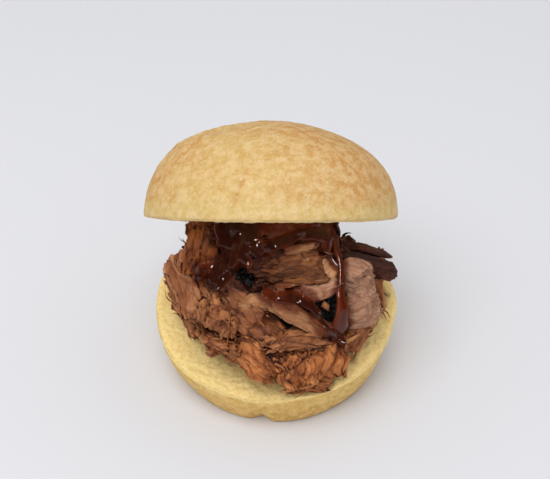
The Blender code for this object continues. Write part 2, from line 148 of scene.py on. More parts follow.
class Socket:
    """A socket of a material's nodes. Sums and products of sockets add Math nodes."""

    def __init__(self, tree, link=None):
        self.tree = tree
        self.link = link

    def node(self, kind, settings=None, sockets=None, out=0):
        """Adds a node of any kind and gives one of its outputs."""
        made = self.tree.nodes.new("ShaderNode" + kind)
        for name, value in (settings or {}).items():
            setattr(made, name, value)
        for name, value in (sockets or {}).items():
            if isinstance(value, Socket):
                self.tree.links.new(value.link, made.inputs[name])
            elif isinstance(value, tuple) and made.inputs[name].type == "RGBA":
                made.inputs[name].default_value = (*value, 1)
            else:
                made.inputs[name].default_value = value
        return Socket(self.tree, made.outputs[out])

    def math(self, operation, *values):
        return self.node("Math", {"operation": operation}, dict(enumerate(values)))

    def __add__(self, other):
        return self.math("ADD", self, other)

    def __sub__(self, other):
        return self.math("SUBTRACT", self, other)

    def __rsub__(self, other):
        return self.math("SUBTRACT", other, self)

    def __mul__(self, other):
        return self.math("MULTIPLY", self, other)

    __radd__ = __add__
    __rmul__ = __mul__

    def above(self, low, high):
        """0 where this is under low, 1 where it is over high, with a soft step between."""
        return self.node(
            "MapRange", {"interpolation_type": "SMOOTHSTEP"},
            {"Value": self, "From Min": low, "From Max": high},
        )

    def grain(self, scale, detail=3.0, harshness=0.55, stretch=(1, 1, 1)):
        """Noise over these coordinates, from 0 to 1, with a scale in cells to the unit."""
        placed = self.node("Mapping", sockets={"Vector": self, "Scale": stretch})
        return self.node("TexNoise", None, {
            "Vector": placed, "Scale": scale, "Detail": detail, "Roughness": harshness,
        })

    def blend(self, under, over):
        """One colour where this is 0 and another where it is 1."""
        return self.node("Mix", {"data_type": "RGBA"}, {0: self, 6: under, 7: over}, out=2)

    def tint(self, colour, share):
        """This colour multiplied by another, by a share."""
        return self.node(
            "Mix", {"data_type": "RGBA", "blend_type": "MULTIPLY"},
            {0: share, 6: self, 7: colour}, out=2,
        )

    def bump(self, height, strength):
        """A bumped normal, with the height of its relief in metres."""
        return self.node("Bump", None, {
            "Height": self, "Distance": height, "Strength": strength,
        })

    def mark(self, name, out):
        """A mark of the mesh: output 1 is its vector, and output 2 its value."""
        return self.node("Attribute", {"attribute_name": name}, out=out)


def new_finish(name, constants):
    """A new material, its shader and the start of its node expressions."""
    made = bpy.data.materials.new(name)
    made.use_nodes = True
    shader = made.node_tree.nodes["Principled BSDF"]
    for socket, value in constants.items():
        shader.inputs[socket].default_value = value
    return made, shader, Socket(made.node_tree)


def wire(shader, **sockets):
    """Links sockets to the shader's inputs: base_color=x links x to Base Color."""
    for name, socket in sockets.items():
        socket.tree.links.new(socket.link, shader.inputs[name.replace("_", " ").title()])


def bread_finish(name, golden, browned, pale, crumb):
    """Baked bread: crust where the mark crust is 1, crumb where it is 0, and stained with juice
    and darkened with painted shade where the meat touches it."""
    made, shader, start = new_finish(name, {
        "Subsurface Weight": 0.10, "Subsurface Scale": 1.5 * MM,
        "Subsurface Radius": (1.0, 0.55, 0.25), "Specular IOR Level": 0.25,
    })
    spot = start.node("TexCoord", out=3)
    crusty = (start.mark("crust", 2) + spot.grain(420, 3) * 0.5 - 0.25).above(0.35, 0.65)
    brown = (start.mark("brown", 2) + spot.grain(90, 7, 0.68) * 1.3 - 0.65).above(0.12, 0.98)
    blister = spot.grain(900, 1.5, 0.5).above(0.60, 0.70)
    mottle = spot.grain(400, 5, 0.65).above(0.36, 0.64)
    speck = spot.grain(520, 0.5, 0.3).above(0.84, 0.88)
    crust = brown.blend(golden, browned)
    crust = (mottle * 0.55).blend(crust, pale)
    crust = (blister * 0.55).blend(crust, pale)
    crust = crust.tint(CRUST_PORE_TINT, (1 - spot.grain(1700, 2).above(0.32, 0.56)) * 0.45)
    crust = (speck * 0.6).blend(crust, tuple(part * 0.55 for part in browned))
    pores = spot.grain(1000, 4, 0.65).above(0.30, 0.60)
    soft = spot.grain(210, 3).above(0.3, 0.75)
    inside = soft.blend(crumb, pale).tint(CRUMB_PORE_TINT, 1 - pores)
    # Juice stain and painted shade, where the bread meets the meat.
    stained_and_shaded = (start.mark("stain", 2) + spot.grain(300, 3) * 0.8 - 0.4).above(0.1, 1.0)
    inside = (stained_and_shaded * 0.8).blend(inside, JUICE_STAIN_AND_SHADE)
    fine = spot.grain(1500, 3, 0.6)
    relief = (blister * 0.7 + fine * 0.8 + mottle * 0.6) * crusty + pores * (1 - crusty) * 0.6
    wire(
        shader, base_color=crusty.blend(inside, crust), normal=relief.bump(BREAD_BUMP, 0.85),
        roughness=0.62 + 0.18 * (1 - crusty) + 0.10 * fine,
    )
    return made


def heel_face():
    """The plane of the heel's cut face: +Z is its normal, and it crosses the axis."""
    turn = Matrix.Rotation(HEEL_ROLL, 4, "Y") @ Matrix.Rotation(HEEL_TILT, 4, "X")
    return Matrix.Translation((0, 0, HEEL_HEIGHT)) @ turn


def heel_side(height):
    """How far the heel's side has leaned out at a height above the underside."""
    share = min(max(height / HEEL_SIDE_HEIGHT, 0), 1)
    lean = (1 - (1 - share) ** HEEL_SIDE_FULLNESS) ** (1 / HEEL_SIDE_FULLNESS)
    return HEEL_UNDERSIDE_RADIUS + (HEEL_RADIUS - HEEL_UNDERSIDE_RADIUS) * lean


def fold(co):
    """How far the tucked fold draws the heel's side in at a point."""
    bearing = math.atan2(co.y, co.x) - FOLD_BEARING
    across = math.exp(-((bearing / FOLD_WIDTH) ** 2))
    lobes = 0.25 * math.exp(-((bearing / (5 * FOLD_WIDTH)) ** 2))
    up = max(0.0, 1 - co.z / FOLD_HEIGHT)
    return FOLD_DEPTH * up * (across - lobes)


def heel_rim(outward, level, normal):
    """The heel's skin in a direction: level is 0 at the underside and 1 at the cut."""
    spot = outward * HEEL_RADIUS
    for _ in range(4):
        cut_height = HEEL_HEIGHT - (normal.x * spot.x + normal.y * spot.y) / normal.z
        height = level * cut_height
        radius = heel_side(height) if level > 0 else HEEL_FLAT_RADIUS
        place = outward * radius + Vector((0, 0, height))
        spot = place + outward * (swell(place, 3.0) - fold(place))
    return spot


def crumb_relief(spot):
    """The height of torn crumb's lumps and pits at a point."""
    torn = abs(rough(spot / (2.6 * MM))) * 0.42 + rough(spot / (1.2 * MM)) * 0.24
    return (rough(spot / (5.0 * MM)) * 0.32 + torn - 0.28) * MM


def sagged(co):
    """A point of the heel, once its rear right edge has sunk and drawn in."""
    bearing = math.atan2(co.y, co.x) - SAG_BEARING
    share = math.exp(-((bearing / SAG_WIDTH) ** 2)) * co.z / HEEL_HEIGHT
    share *= (co.xy.length / HEEL_RADIUS) ** 2
    outward = Vector((co.x, co.y, 0)).normalized()
    return co - (outward * SAG_PULL + Vector((0, 0, SAG_DROP))) * share


def heel_piece(finish):
    profile = [(0, 0), (HEEL_FLAT_RADIUS * 0.5, 0), (HEEL_FLAT_RADIUS * 0.9, 0)]
    profile += [(HEEL_FLAT_RADIUS, 0)]
    for step in range(1, HEEL_SIDE_STEPS + 1):
        profile.append((HEEL_RADIUS, HEEL_HEIGHT * (step - 0.6) / (HEEL_SIDE_STEPS - 0.6)))
    for step in range(1, HEEL_FACE_STEPS):
        profile.append((HEEL_RADIUS * (1 - step / HEEL_FACE_STEPS), HEEL_HEIGHT))
    bm = spun(profile + [(0, HEEL_HEIGHT)], HEEL_TURNS)
    face = heel_face()
    normal = face.to_3x3() @ Vector((0, 0, 1))
    marks = {"crust": [], "brown": [], "stain": []}
    for v in bm.verts:
        start = v.co.copy()
        inward = 1 - start.xy.length / HEEL_RADIUS
        level = start.z / HEEL_HEIGHT
        on_cut = level > 0.9999 and inward > 0.001
        marks["crust"].append(0.0 if on_cut else ease(1 - level, 0.04, 0.22))
        marks["brown"].append(0.25 + 0.5 * ease(1 - level, 0.3, 0.9))
        marks["stain"].append(0.0)
        if start.z == 0 and start.xy.length < 0.95 * HEEL_FLAT_RADIUS:
            continue
        if start.xy.length < 0.5 * MM:
            v.co += normal * crumb_relief(start)
            continue
        outward = Vector((start.x, start.y, 0)).normalized()
        bearing = math.atan2(start.y, start.x)
        worn = HEEL_LIP * (1 + 0.5 * rough(Vector((bearing * 3.1, 4.4, 0))))
        spot = heel_rim(outward, level, normal)
        if on_cut:
            reach = spot.xy.length
            spot = outward * reach * (1 - inward)
            spot.z = HEEL_HEIGHT - (normal.x * spot.x + normal.y * spot.y) / normal.z
            near = max(0.0, 1 - reach * inward / (LIP_REACH * worn))
            rim_drop = HEEL_LIP_DROP * worn * near * near
            v.co = spot + normal * (crumb_relief(spot) * (1 - near) - rim_drop)
            continue
        depth = (face.translation - spot).dot(normal)
        near = max(0.0, 1 - depth / (LIP_REACH * worn))
        spot -= outward * worn * 0.5 * near * near
        if level > 0.9999:
            spot -= normal * worn * HEEL_LIP_DROP
        knead = rough(spot / (4.2 * MM) + Vector((9, 0, 0))) * 0.16
        crease = abs(rough(Vector((bearing * 9, spot.z / (6 * MM), 2.0))))
        hem = ease(spot.z, 0.5 * MM, 2.5 * MM)
        v.co = spot + outward * (knead - 1.4 * max(0.0, 0.16 - crease)) * MM * hem
    for v in bm.verts:
        v.co = sagged(v.co)
    return finished(bm, "heel_bread", finish, "heel", marks)


heel_finish = bread_finish(
    "heel bread", golden=(0.68, 0.42, 0.108), browned=(0.56, 0.29, 0.06),
    pale=(0.90, 0.69, 0.29), crumb=(0.93, 0.69, 0.29),
)
heel = heel_piece(heel_finish)


# ---- The crown -----------------------------------------------------------------------------
# The roll's upper half: a low dome with a dry, matte crust, a shade browner on top and on its
# right side, with pale pinhead blisters, a few wrinkles and cracks, and a pale band just over
# the cut. It leans back on the filling.

CROWN_RADIUS = 36.0 * MM
CROWN_HEIGHT = 27.5 * MM
CROWN_FULLNESS = 2.15
CROWN_CENTRE = Vector((-1.1, 4.0, 48.1)) * MM
CROWN_TILT = math.radians(-34.7)
CROWN_ROLL = math.radians(0.4)
CROWN_TURNS = 336
CROWN_RINGS = 88
CROWN_FACE_STEPS = 40
CROWN_LIP = 1.0 * MM
CROWN_LIP_RISE = 0.55              # how far the worn lip rises, in times its wear
# The crust is wrinkled most round this direction from the dome's centre, in degrees.
WRINKLED_TOWARDS = Vector((-0.5, -0.2, 0.8))
WRINKLED_WIDTH = 24
# Dents and bulges of the dome: direction from its centre, angular width in degrees, height.
DOME_DENTS = (
    (Vector((-0.44, -0.25, 0.90)), 14, -1.1 * MM),
    (Vector((-0.80, -0.10, 0.62)), 16, 0.9 * MM),
    (Vector((0.30, -0.20, 0.93)), 22, -0.3 * MM),
    (Vector((0.20, 0.75, 0.60)), 18, -0.9 * MM),
)
# Creases and cracks of the crust: start, end, width and depth, in millimetres, in the crown's
# own frame. A crack has a negative depth, because its pale edges stand proud.
DOME_CREASES = (
    ((-6.2, -31.2, 13.9), (-8.2, -33.2, 9.8), 0.42, 0.60),
    ((-8.2, -33.2, 9.8), (-9.7, -34.2, 4.7), 0.42, 0.60),
    ((-24.6, -15.8, 17.1), (-21.7, -14.0, 20.1), 0.42, 0.70),
    ((13.2, -31.7, 9.2), (13.4, -33.3, 2.0), 0.45, -0.28),
    ((10.4, -24.9, 19.1), (12.7, -20.4, 21.3), 0.42, 0.60),
    ((12.7, -20.4, 21.3), (14.4, -18.2, 21.9), 0.45, 0.40),
    ((-8.6, -15.6, 24.5), (-7.5, -15.3, 24.8), 0.4, 0.45),
    ((-0.5, -17.8, 24.5), (1.2, -15.2, 25.4), 0.35, 0.35),
    ((27.0, 8.0, 19.5), (20.0, 15.0, 22.0), 0.9, 0.35),
)
# Where the crust browned most: direction from the dome's centre, angular width, strength.
DOME_BROWN = (
    (Vector((0.72, -0.45, 0.55)), 30, 0.75),
    (Vector((0.15, -0.30, 1.0)), 32, 0.42),
    (Vector((0.38, -0.67, 0.65)), 5, 0.55),
    (Vector((-0.85, -0.35, 0.40)), 20, 0.45),
    (Vector((0.0, 0.90, 0.40)), 40, 0.25),
)


def crown_face():
    """The plane of the crown's cut face, with the dome on its +Z side."""
    turn = Matrix.Rotation(CROWN_ROLL, 4, "Y") @ Matrix.Rotation(CROWN_TILT, 4, "X")
    return Matrix.Translation(CROWN_CENTRE) @ turn


def spread(direction, spots):
    """The sum of soft round spots on the dome, in one direction from its centre."""
    total = 0.0
    for towards, width, height in spots:
        total += height * math.exp(-((math.degrees(direction.angle(towards)) / width) ** 2))
    return total


def crease_relief(spot):
    """The height of the crust's creases and cracks at a point."""
    total = 0.0
    for start, end, width, depth in DOME_CREASES:
        start, along = Vector(start) * MM, (Vector(end) - Vector(start)) * MM
        share = min(max((spot - start).dot(along) / along.length_squared, 0), 1)
        wander = rough_vector(spot / (3 * MM)) * 0.5 * MM
        apart = (spot + wander - start - along * share).length / (width * MM)
        if apart < 3:
            total -= depth * MM * math.exp(-apart * apart)
    return total


def crown_piece(finish):
    profile = [(0, 0)]
    for step in range(1, CROWN_FACE_STEPS):
        profile.append((CROWN_RADIUS * step / CROWN_FACE_STEPS, 0))
    for step in range(CROWN_RINGS):
        turn = math.pi / 2 * step / CROWN_RINGS
        profile.append((
            CROWN_RADIUS * math.cos(turn) ** (2 / CROWN_FULLNESS),
            CROWN_HEIGHT * math.sin(turn) ** (2 / CROWN_FULLNESS),
        ))
    bm = spun(profile + [(0, CROWN_HEIGHT)], CROWN_TURNS)
    marks = {"crust": [], "brown": [], "stain": []}
    for v in bm.verts:
        spot = v.co.copy()
        radius = spot.xy.length
        on_cut = spot.z == 0 and radius < CROWN_RADIUS * 0.9999
        towards = spot.normalized() if spot.length > 0 else Vector((0, 0, 1))
        height = swell(spot, 8.0) + spread(towards, DOME_DENTS)
        band = ease(spot.z, 1.0 * MM, 6.5 * MM)
        marks["crust"].append(0.0 if on_cut else ease(spot.z, 0.1 * MM, 1.2 * MM))
        crease = crease_relief(spot)
        baked = 0.55 * band + spread(towards, DOME_BROWN) - 0.2
        marks["brown"].append(baked + max(0.0, -crease) / (0.9 * MM))
        marks["stain"].append(0.0)
        worn = CROWN_LIP * (1 + 0.6 * rough(Vector((math.atan2(spot.y, spot.x) * 4, 7, 0))))
        if on_cut:
            near = max(0.0, 1 - (CROWN_RADIUS - radius) / (LIP_REACH * worn))
            flat = Vector((towards.x, towards.y, 0)) * height * ease(radius / CROWN_RADIUS, 0.6, 1)
            lift = worn * CROWN_LIP_RISE * near * near - crumb_relief(spot) * (1 - near)
            v.co = spot + flat + Vector((0, 0, lift))
            continue
        near = max(0.0, 1 - spot.z / (LIP_REACH * worn))
        if spot.z == 0:
            towards = Vector((towards.x, towards.y, 0))
        wrinkles = abs(rough(spot / (3.4 * MM))) * 0.22 + rough(spot / (1.6 * MM)) * 0.05
        shoulder = spread(towards, ((WRINKLED_TOWARDS, WRINKLED_WIDTH, 1.0),))
        relief = wrinkles * (0.6 + 4.4 * shoulder) * MM + crease
        v.co = spot + towards * (height + relief * band - worn * 0.5 * near * near)
        if spot.z == 0:
            wave = rough(Vector((spot.x, spot.y, 0)) / (5 * MM)) * 0.5 * MM
            v.co.z += worn * CROWN_LIP_RISE + wave
    bm.transform(crown_face())
    return finished(bm, "crown_bread", finish, "crown", marks)


crown_finish = bread_finish(
    "crown bread", golden=(0.61, 0.42, 0.140), browned=(0.55, 0.265, 0.058),
    pale=(0.76, 0.57, 0.30), crumb=(0.76, 0.55, 0.25),
)
crown = crown_piece(crown_finish)


# ---- The brisket ---------------------------------------------------------------------------
# A heap of slow-cooked brisket, torn along its grain into pieces 6 to 20 mm long, from rose
# grey to orange brown. Each piece is a finely divided block with fibres in relief, splits and
# ragged ends, and loose shreds stand off it. A core closes the heap behind the pieces, painted
# near black in front as shadow.

# The heap's outline from the heel's face (rise 0) to the crown's face (rise 1), in millimetres.
# Each row is: rise, half width, half depth, middle's distance from the hinge, shift, taper.
HEAP_STATIONS = (
    (0.0, 31.0, 30.5, 36.5, 3.0, 2.2),
    (0.2, 33.0, 31.5, 36.0, 0.5, 1.6),
    (0.5, 30.0, 31.0, 35.0, 0.0, 1.0),
    (0.8, 22.5, 27.5, 33.5, -2.0, 1.0),
    (1.0, 19.5, 25.0, 32.0, -2.5, 1.0),
)
REAR_SLIM = 0.42                   # share of its width that the heap loses at its rear right
# Each row is: name, bearing, rise, how proud it stands, length, width, depth, the grain's slope
# and dip, tone, and the side that the fibres run along. Lengths are in millimetres.
LARGE_PIECES = (
    ("left shoulder", -53, 0.555, -2.6, 19, 12.5, 11, -38, 4, "rose", "x"),
    ("left flank strip", -58, 0.40, -1.5, 18, 6.5, 6, -42, 0, "brown", "x"),
    ("left foot", -53, 0.26, -2.2, 11, 6, 6, -34, 0, "brown", "x"),
    ("left back shoulder", -66, 0.68, -5.2, 13, 8, 7, -50, 0, "umber", "x"),
    ("top left", -50, 0.82, 1.2, 14, 10, 8, -64, 6, "burnt", "x"),
    ("round cheek", -28, 0.44, -1.0, 11, 12, 10, 78, 25, "brown", "x"),
    ("middle shred bundle", -14, 0.50, -1.0, 18, 7, 6, -36, 3, "auburn", "x"),
    ("upper shred bundle", -22, 0.60, -2.0, 14, 6, 6, -30, 0, "umber", "x"),
    ("front left rag", -25, 0.25, -0.5, 11, 6, 6, 14, 8, "brown", "x"),
    ("front middle", -9, 0.25, -0.5, 13, 9, 8, -38, 10, "russet", "x"),
    ("slanting slab", -4, 0.36, -0.5, 13, 7, 6, -32, 0, "auburn", "x"),
    ("flat slab", 11, 0.36, 0.3, 17, 6.2, 7, 3, 0, "brown", "x"),
    ("front block", 16, 0.20, 0.3, 19, 10.5, 10, 4, 0, "russet", "y"),
    ("front foot", 12, 0.06, 0.6, 11.5, 7, 7, -14, 0, "russet", "x"),
    ("block's curled end", 30, 0.15, 0.0, 7, 6.5, 5, 80, 0, "russet", "x"),
    ("right foot", 41, 0.20, -1.2, 10, 8, 8, 60, 0, "brown", "x"),
    ("tan strip", 11, 0.503, 1.6, 17.5, 4.8, 4.2, -37, -1, "tan", "x"),
    ("tan flake", -8, 0.57, 1.3, 9, 4.6, 3.2, 8, 0, "tan", "x"),
    ("middle block", 11, 0.74, -2.5, 19, 12, 10, 6, 0, "umber", "x"),
    ("pale lump", 35, 0.70, 0.6, 6.5, 5.2, 5, 30, 0, "tan", "x"),
    ("pale roll", 26, 0.60, -0.5, 11, 6, 6, 6, 0, "pink", "x"),
    ("grey chunk", 50, 0.505, -0.6, 16, 9, 10, 82, 4, "grey", "z"),
    ("right dark slab", 67, 0.63, 2.4, 17, 5, 5.2, -45, 9, "bark", "x"),
    ("bark strip", 71, 0.747, 4.0, 20, 2.0, 2.0, -44, 12, "bark", "x"),
    ("right flank", 76, 0.36, -4.0, 16, 10, 8, 62, 0, "brown", "x"),
    ("right rear flank", 88, 0.42, -4.2, 16, 9, 8, -34, 0, "brown", "x"),
    ("right rear top", 84, 0.46, -6.0, 12, 7, 6, -20, 0, "umber", "x"),
    ("top right nub", 58, 0.925, 1.2, 6, 2.6, 2.6, 50, 0, "umber", "x"),
    ("top middle", 4, 0.92, -2.5, 17, 9, 9, 10, 0, "umber", "x"),
    ("top right block", 38, 0.885, -1.2, 15, 9, 8, -4, 0, "umber", "x"),
    ("top left back", -24, 0.90, -2.5, 16, 9, 9, -20, 0, "umber", "x"),
    ("dark hollow back", -15, 0.70, -4.5, 14, 10, 8, -12, 0, "hollow", "x"),
    ("pocket back", 29, 0.48, -4.5, 12, 10, 8, 20, 0, "hollow", "x"),
)
# Small bits that lie on the large pieces, in the same terms.
SMALL_PIECES = (
    ("fat under the glaze", 21, 0.85, 3.9, 9, 2.4, 2.2, 6, 0, "tan", "x"),
    ("bit between the drips", -19, 0.795, 2.4, 4.5, 2.6, 2.2, 65, 0, "russet", "x"),
    ("crumb on the shoulder", -44, 0.60, 2.6, 3.0, 1.6, 1.2, -30, 0, "brown", "x"),
    ("crumb by the block", 27, 0.27, 4.2, 3.4, 1.8, 1.5, 40, 0, "auburn", "x"),
)
# Gaps sunk between the pieces and painted dark with shade: middle (x, y, z), radius and depth, in
# millimetres.
GAPS = (
    ((-7.5, -20.6, 47.7), 4.5, 2.5), ((-4.0, -24.0, 48.9), 4.0, 3.0),
    ((-0.8, -32.3, 40.4), 3.4, 4.0), ((-15.4, -27.6, 24.0), 3.0, 3.0),
    ((-1.6, -34.5, 30.8), 3.2, 3.4), ((-23.2, -17.4, 47.4), 2.8, 2.8),
)
# The lighter and the darker colour of each tone of meat.
TONES = {
    "rose": (Vector((0.74, 0.34, 0.15)), Vector((0.43, 0.155, 0.060))),
    "brown": (Vector((0.77, 0.33, 0.125)), Vector((0.38, 0.13, 0.046))),
    "russet": (Vector((0.94, 0.375, 0.115)), Vector((0.52, 0.165, 0.048))),
    "auburn": (Vector((0.54, 0.195, 0.066)), Vector((0.24, 0.075, 0.025))),
    # A russet darkened towards umber, for the top left piece.
    "burnt": (Vector((0.66, 0.22, 0.050)), Vector((0.28, 0.075, 0.017))),
    "umber": (Vector((0.42, 0.150, 0.042)), Vector((0.17, 0.052, 0.014))),
    "grey": (Vector((0.80, 0.47, 0.30)), Vector((0.50, 0.25, 0.15))),
    "pink": (Vector((0.93, 0.54, 0.33)), Vector((0.62, 0.29, 0.16))),
    "tan": (Vector((0.80, 0.43, 0.20)), Vector((0.50, 0.22, 0.09))),
    "bark": (Vector((0.17, 0.045, 0.020)), Vector((0.070, 0.019, 0.010))),
    # Painted shadow: near black, for gap pieces, shreds and the core's front, where there is only
    # shade.
    "hollow": (Vector((0.024, 0.011, 0.008)), Vector((0.010, 0.005, 0.004))),
    "bright": (Vector((0.88, 0.42, 0.15)), Vector((0.62, 0.22, 0.065))),
}
# Pieces with a smoother skin than the rest, and how strong their relief is.
SMOOTHER = {"tan": 0.45, "grey": 0.4, "pink": 0.5, "bark": 0.5, "rose": 0.75}
TORN_ROUNDING = 0.38               # from 0 for a block to 1 for a ball
SMOOTH_ROUNDING = 0.6
FLAKE_SIZE = (6.0, 2.1)            # length along the grain and width, in millimetres
SMALL_FLAKE_SIZE = (3.2, 0.85)
# Single strands that stand out: root and tip as (bearing, rise, how proud), radius, tone.
SINGLE_STRANDS = (
    ((27, 0.285, 3.0), (40, 0.235, 3.4), 0.8, "bright"),
    ((24, 0.31, 2.4), (31, 0.27, 3.2), 0.55, "bright"),
    ((-27, 0.66, 1.2), (-17, 0.595, 2.0), 0.24, "bright"),
    ((-33, 0.57, 0.8), (-37, 0.42, 1.6), 0.22, "grey"),
    ((-41, 0.47, 1.0), (-44, 0.38, 1.4), 0.26, "tan"),
    ((19, 0.55, 2.6), (21, 0.49, 2.8), 0.55, "bright"),
    ((26, 0.53, 0.4), (30, 0.49, 0.8), 0.8, "bright"),
    ((-30, 0.27, 1.4), (-39, 0.19, 2.4), 0.6, "russet"),
    ((-30, 0.24, 1.2), (-36, 0.14, 1.8), 0.45, "brown"),
    ((2, 0.78, 0.6), (18, 0.765, 0.8), 0.35, "grey"),
    ((6, 0.765, 0.6), (20, 0.75, 0.8), 0.28, "grey"),
)
GRAIN_ORDER = {"x": (0, 1, 2), "y": (1, 0, 2), "z": (2, 0, 1)}
FRONT_STEP = 0.26 * MM             # between a front piece's points across its grain
BACK_STEP = 0.42 * MM
BACK_ROWS = (
    (0.18, 9, 14, 8, 7, -3.2),
    (0.50, 8, 15, 9, 7, -4.6),
    (0.78, 5, 13, 8, 6, -6.4),
)
BACK_FROM = math.radians(100)
BACK_TO = math.radians(266)
BACK_SINK = 0.26                   # how much rise the rows lose on the right side
BACK_INSET = 1.5                   # how much further in they lie at the sides, in millimetres
BACK_SEED = 7
SHREDS = 16
SHRED_LENGTH = 10.0
SHRED_THICKNESS = 1.7
SHRED_SEED = 19
STRAND_SIDES = 6
STRAND_CUTS = 6
STRANDS_ON_TORN = 36               # loose strands on a torn piece, and on a smooth one
STRANDS_ON_SMOOTH = 5
CORE_SIDES = 260
CORE_CUTS = 90
CORE_SINK = 4.2                    # how far the core lies inside the skin, in millimetres
CORE_DARK_TO = math.radians(60)    # the bearing up to which the core is painted near black as shadow
CORE_MEAT_FROM = math.radians(78)


def hinge():
    """Where the two cut planes meet behind the roll, in the plane X = 0."""
    heel_slope = math.tan(HEEL_TILT)
    crown_slope = math.tan(CROWN_TILT)
    crown_height = CROWN_CENTRE.z - crown_slope * CROWN_CENTRE.y
    y = (crown_height - HEEL_HEIGHT) / (heel_slope - crown_slope)
    return Vector((0, y, HEEL_HEIGHT + heel_slope * y))


def station(rise):
    """The heap's outline at a rise: half width, half depth, middle, shift and taper."""
    rise = min(max(rise, 0.0), 1.0)
    for low, high in zip(HEAP_STATIONS, HEAP_STATIONS[1:]):
        if rise <= high[0]:
            share = (rise - low[0]) / (high[0] - low[0])
            return [a + (b - a) * share for a, b in zip(low[1:], high[1:])]
    return list(HEAP_STATIONS[-1][1:])


def heap_point(bearing, rise, proud=0.0):
    """A point of the heap's skin. The bearing runs from the front towards +X, the rise from
    the heel's face to the crown's, and proud is the distance outside the skin."""
    half_width, half_depth, middle, shift, taper = station(rise)
    lean = -HEEL_TILT + rise * (HEEL_TILT - CROWN_TILT)
    forward = math.cos(bearing)
    rear = ease(-forward, -0.1, 0.4) * max(0.0, math.sin(bearing)) * ease(rise, 0.1, 0.5)
    half_width *= 1 - REAR_SLIM * rear
    if forward > 0:
        forward **= taper
    out = middle * MM + (half_depth * MM + proud) * forward
    x = shift * MM + (half_width * MM + proud) * math.sin(bearing)
    corner = hinge()
    roll = -math.tan(HEEL_ROLL) * (1 - rise) - math.tan(CROWN_ROLL) * rise
    return Vector((
        x, corner.y - out * math.cos(lean), corner.z + out * math.sin(lean) + roll * x,
    ))


def skin_frame(bearing, rise, slope, dip):
    """Axes at a point of the heap's skin: X along the grain, Z out of the skin."""
    small = 0.02
    across = heap_point(bearing + small, rise) - heap_point(bearing - small, rise)
    up = heap_point(bearing, rise + small) - heap_point(bearing, rise - small)
    out = across.cross(up).normalized()
    across.normalize()
    up = out.cross(across)
    grain = across * math.cos(slope) + up * math.sin(slope)
    grain = (grain * math.cos(dip) + out * math.sin(dip)).normalized()
    side = out.cross(grain).normalized()
    return Matrix((grain, side, grain.cross(side))).transposed()


def laid(bearing, rise, proud, slope, dip=0.0):
    """The place of a piece laid on the heap."""
    turn = skin_frame(bearing, rise, slope, dip)
    return Matrix.Translation(heap_point(bearing, rise, proud * MM)) @ turn.to_4x4()


def is_smooth(tone):
    """Whether pieces of a tone have a smooth skin, with rounder edges and few strands."""
    return SMOOTHER.get(tone, 1.0) < 0.6


def piece_form(u, size, seed, rounding=TORN_ROUNDING):
    """Where a point u of a cube's skin goes on a torn piece of meat with its grain along X."""
    start = Vector((seed * 7.31, seed * 3.17, seed * 1.93))
    p = u.lerp(u.normalized() * 1.25, rounding)
    narrowing = 1 + 0.45 * rough(Vector((p.x * 0.8, 0, 0)) + start)
    lumps = rough_vector(p * 0.9 + start) * 0.3
    bend = 0.35 * rough(start * 1.7)
    q = Vector((p.x, p.y * narrowing, p.z * narrowing - bend * p.x * p.x)) + lumps
    return Vector((q.x * size.x, q.y * size.y, q.z * size.z)) * 0.5


def press(co):
    """Presses a point that would stand inside the bread back to just under its cut face."""
    for face, side in ((heel_face(), -1), (crown_face(), 1)):
        normal = face.to_3x3() @ Vector((0, 0, side))
        beyond = (co - face.translation).dot(normal) - 0.3 * MM
        if beyond > 0:
            co = co - normal * beyond
    return co


def in_gaps(co):
    """A point of the meat once the gaps are sunk into it, and how deep in one it lies."""
    deepest = 0.0
    for centre, radius, depth in GAPS:
        middle = Vector(centre) * MM
        share = 1 - ease((co - middle).length, 0.35 * radius * MM, radius * MM)
        if share > 0:
            inward = -Vector((middle.x, middle.y, 0)).normalized()
            co = co + inward * depth * MM * share
            deepest = max(deepest, share)
    return co, deepest


class Batch:
    """Pieces of meat gathered in one mesh, with their marks."""

    def __init__(self):
        self.bm = bmesh.new()
        self.marks = {"fibre": [], "tone": [], "pit": []}

    def add(self, bm, fibres, tones, crevice_shades):
        held = bpy.data.meshes.new("held")
        bm.to_mesh(held)
        bm.free()
        self.bm.from_mesh(held)
        bpy.data.meshes.remove(held)
        self.marks["fibre"] += fibres
        self.marks["tone"] += tones
        self.marks["pit"] += crevice_shades


def divided_cube(counts):
    """A cube from -1 to 1, divided into its own number of strips along each axis."""
    bm = bmesh.new()
    bmesh.ops.create_cube(bm, size=2)
    for axis, count in enumerate(counts):
        edges = [e for e in bm.edges if abs(e.verts[0].co[axis] - e.verts[1].co[axis]) > 1]
        bmesh.ops.subdivide_edges(bm, edges=edges, cuts=count - 1, use_grid_fill=True)
    return bm


def flakes(q, size, start):
    """Cells of torn meat round a point q: each cell's own level from -1 to 1, and how near the
    point is to the gap between two cells, from 0 to 1."""
    length, width = size
    apart, points = noise.voronoi(Vector((q.x / length, q.y / width, q.z / width)) + start)
    return noise.cell(points[0] * 5.3), max(0.0, 1 - (apart[1] - apart[0]) / 0.2)


def fibre_relief(q, start):
    """The relief at a point q of the fibres, which run along its X, in millimetres: its
    height, how deep in a gap it is from 0 to 1, for the shade painted in gaps, and the lightness
    of its flake."""
    frayed = q + rough_vector(q * 1.1 + start) * 0.3
    flake, gap = flakes(frayed, FLAKE_SIZE, start)
    small_flake, seam = flakes(frayed, SMALL_FLAKE_SIZE, -start)
    lumps = rough(q * 0.30 + start * 2)
    ridges = rough(Vector((q.x * 0.25, q.y * 1.5, q.z * 1.5)) + start)
    height = 0.50 * lumps + 0.32 * flake + 0.14 * small_flake + 0.14 * ridges - 0.22
    height -= 0.42 * gap + 0.12 * seam
    pit = gap * 0.60 + seam * 0.18 + max(0.0, -flake) * 0.25
    return height, min(1.0, pit), 0.65 * flake + 0.35 * small_flake


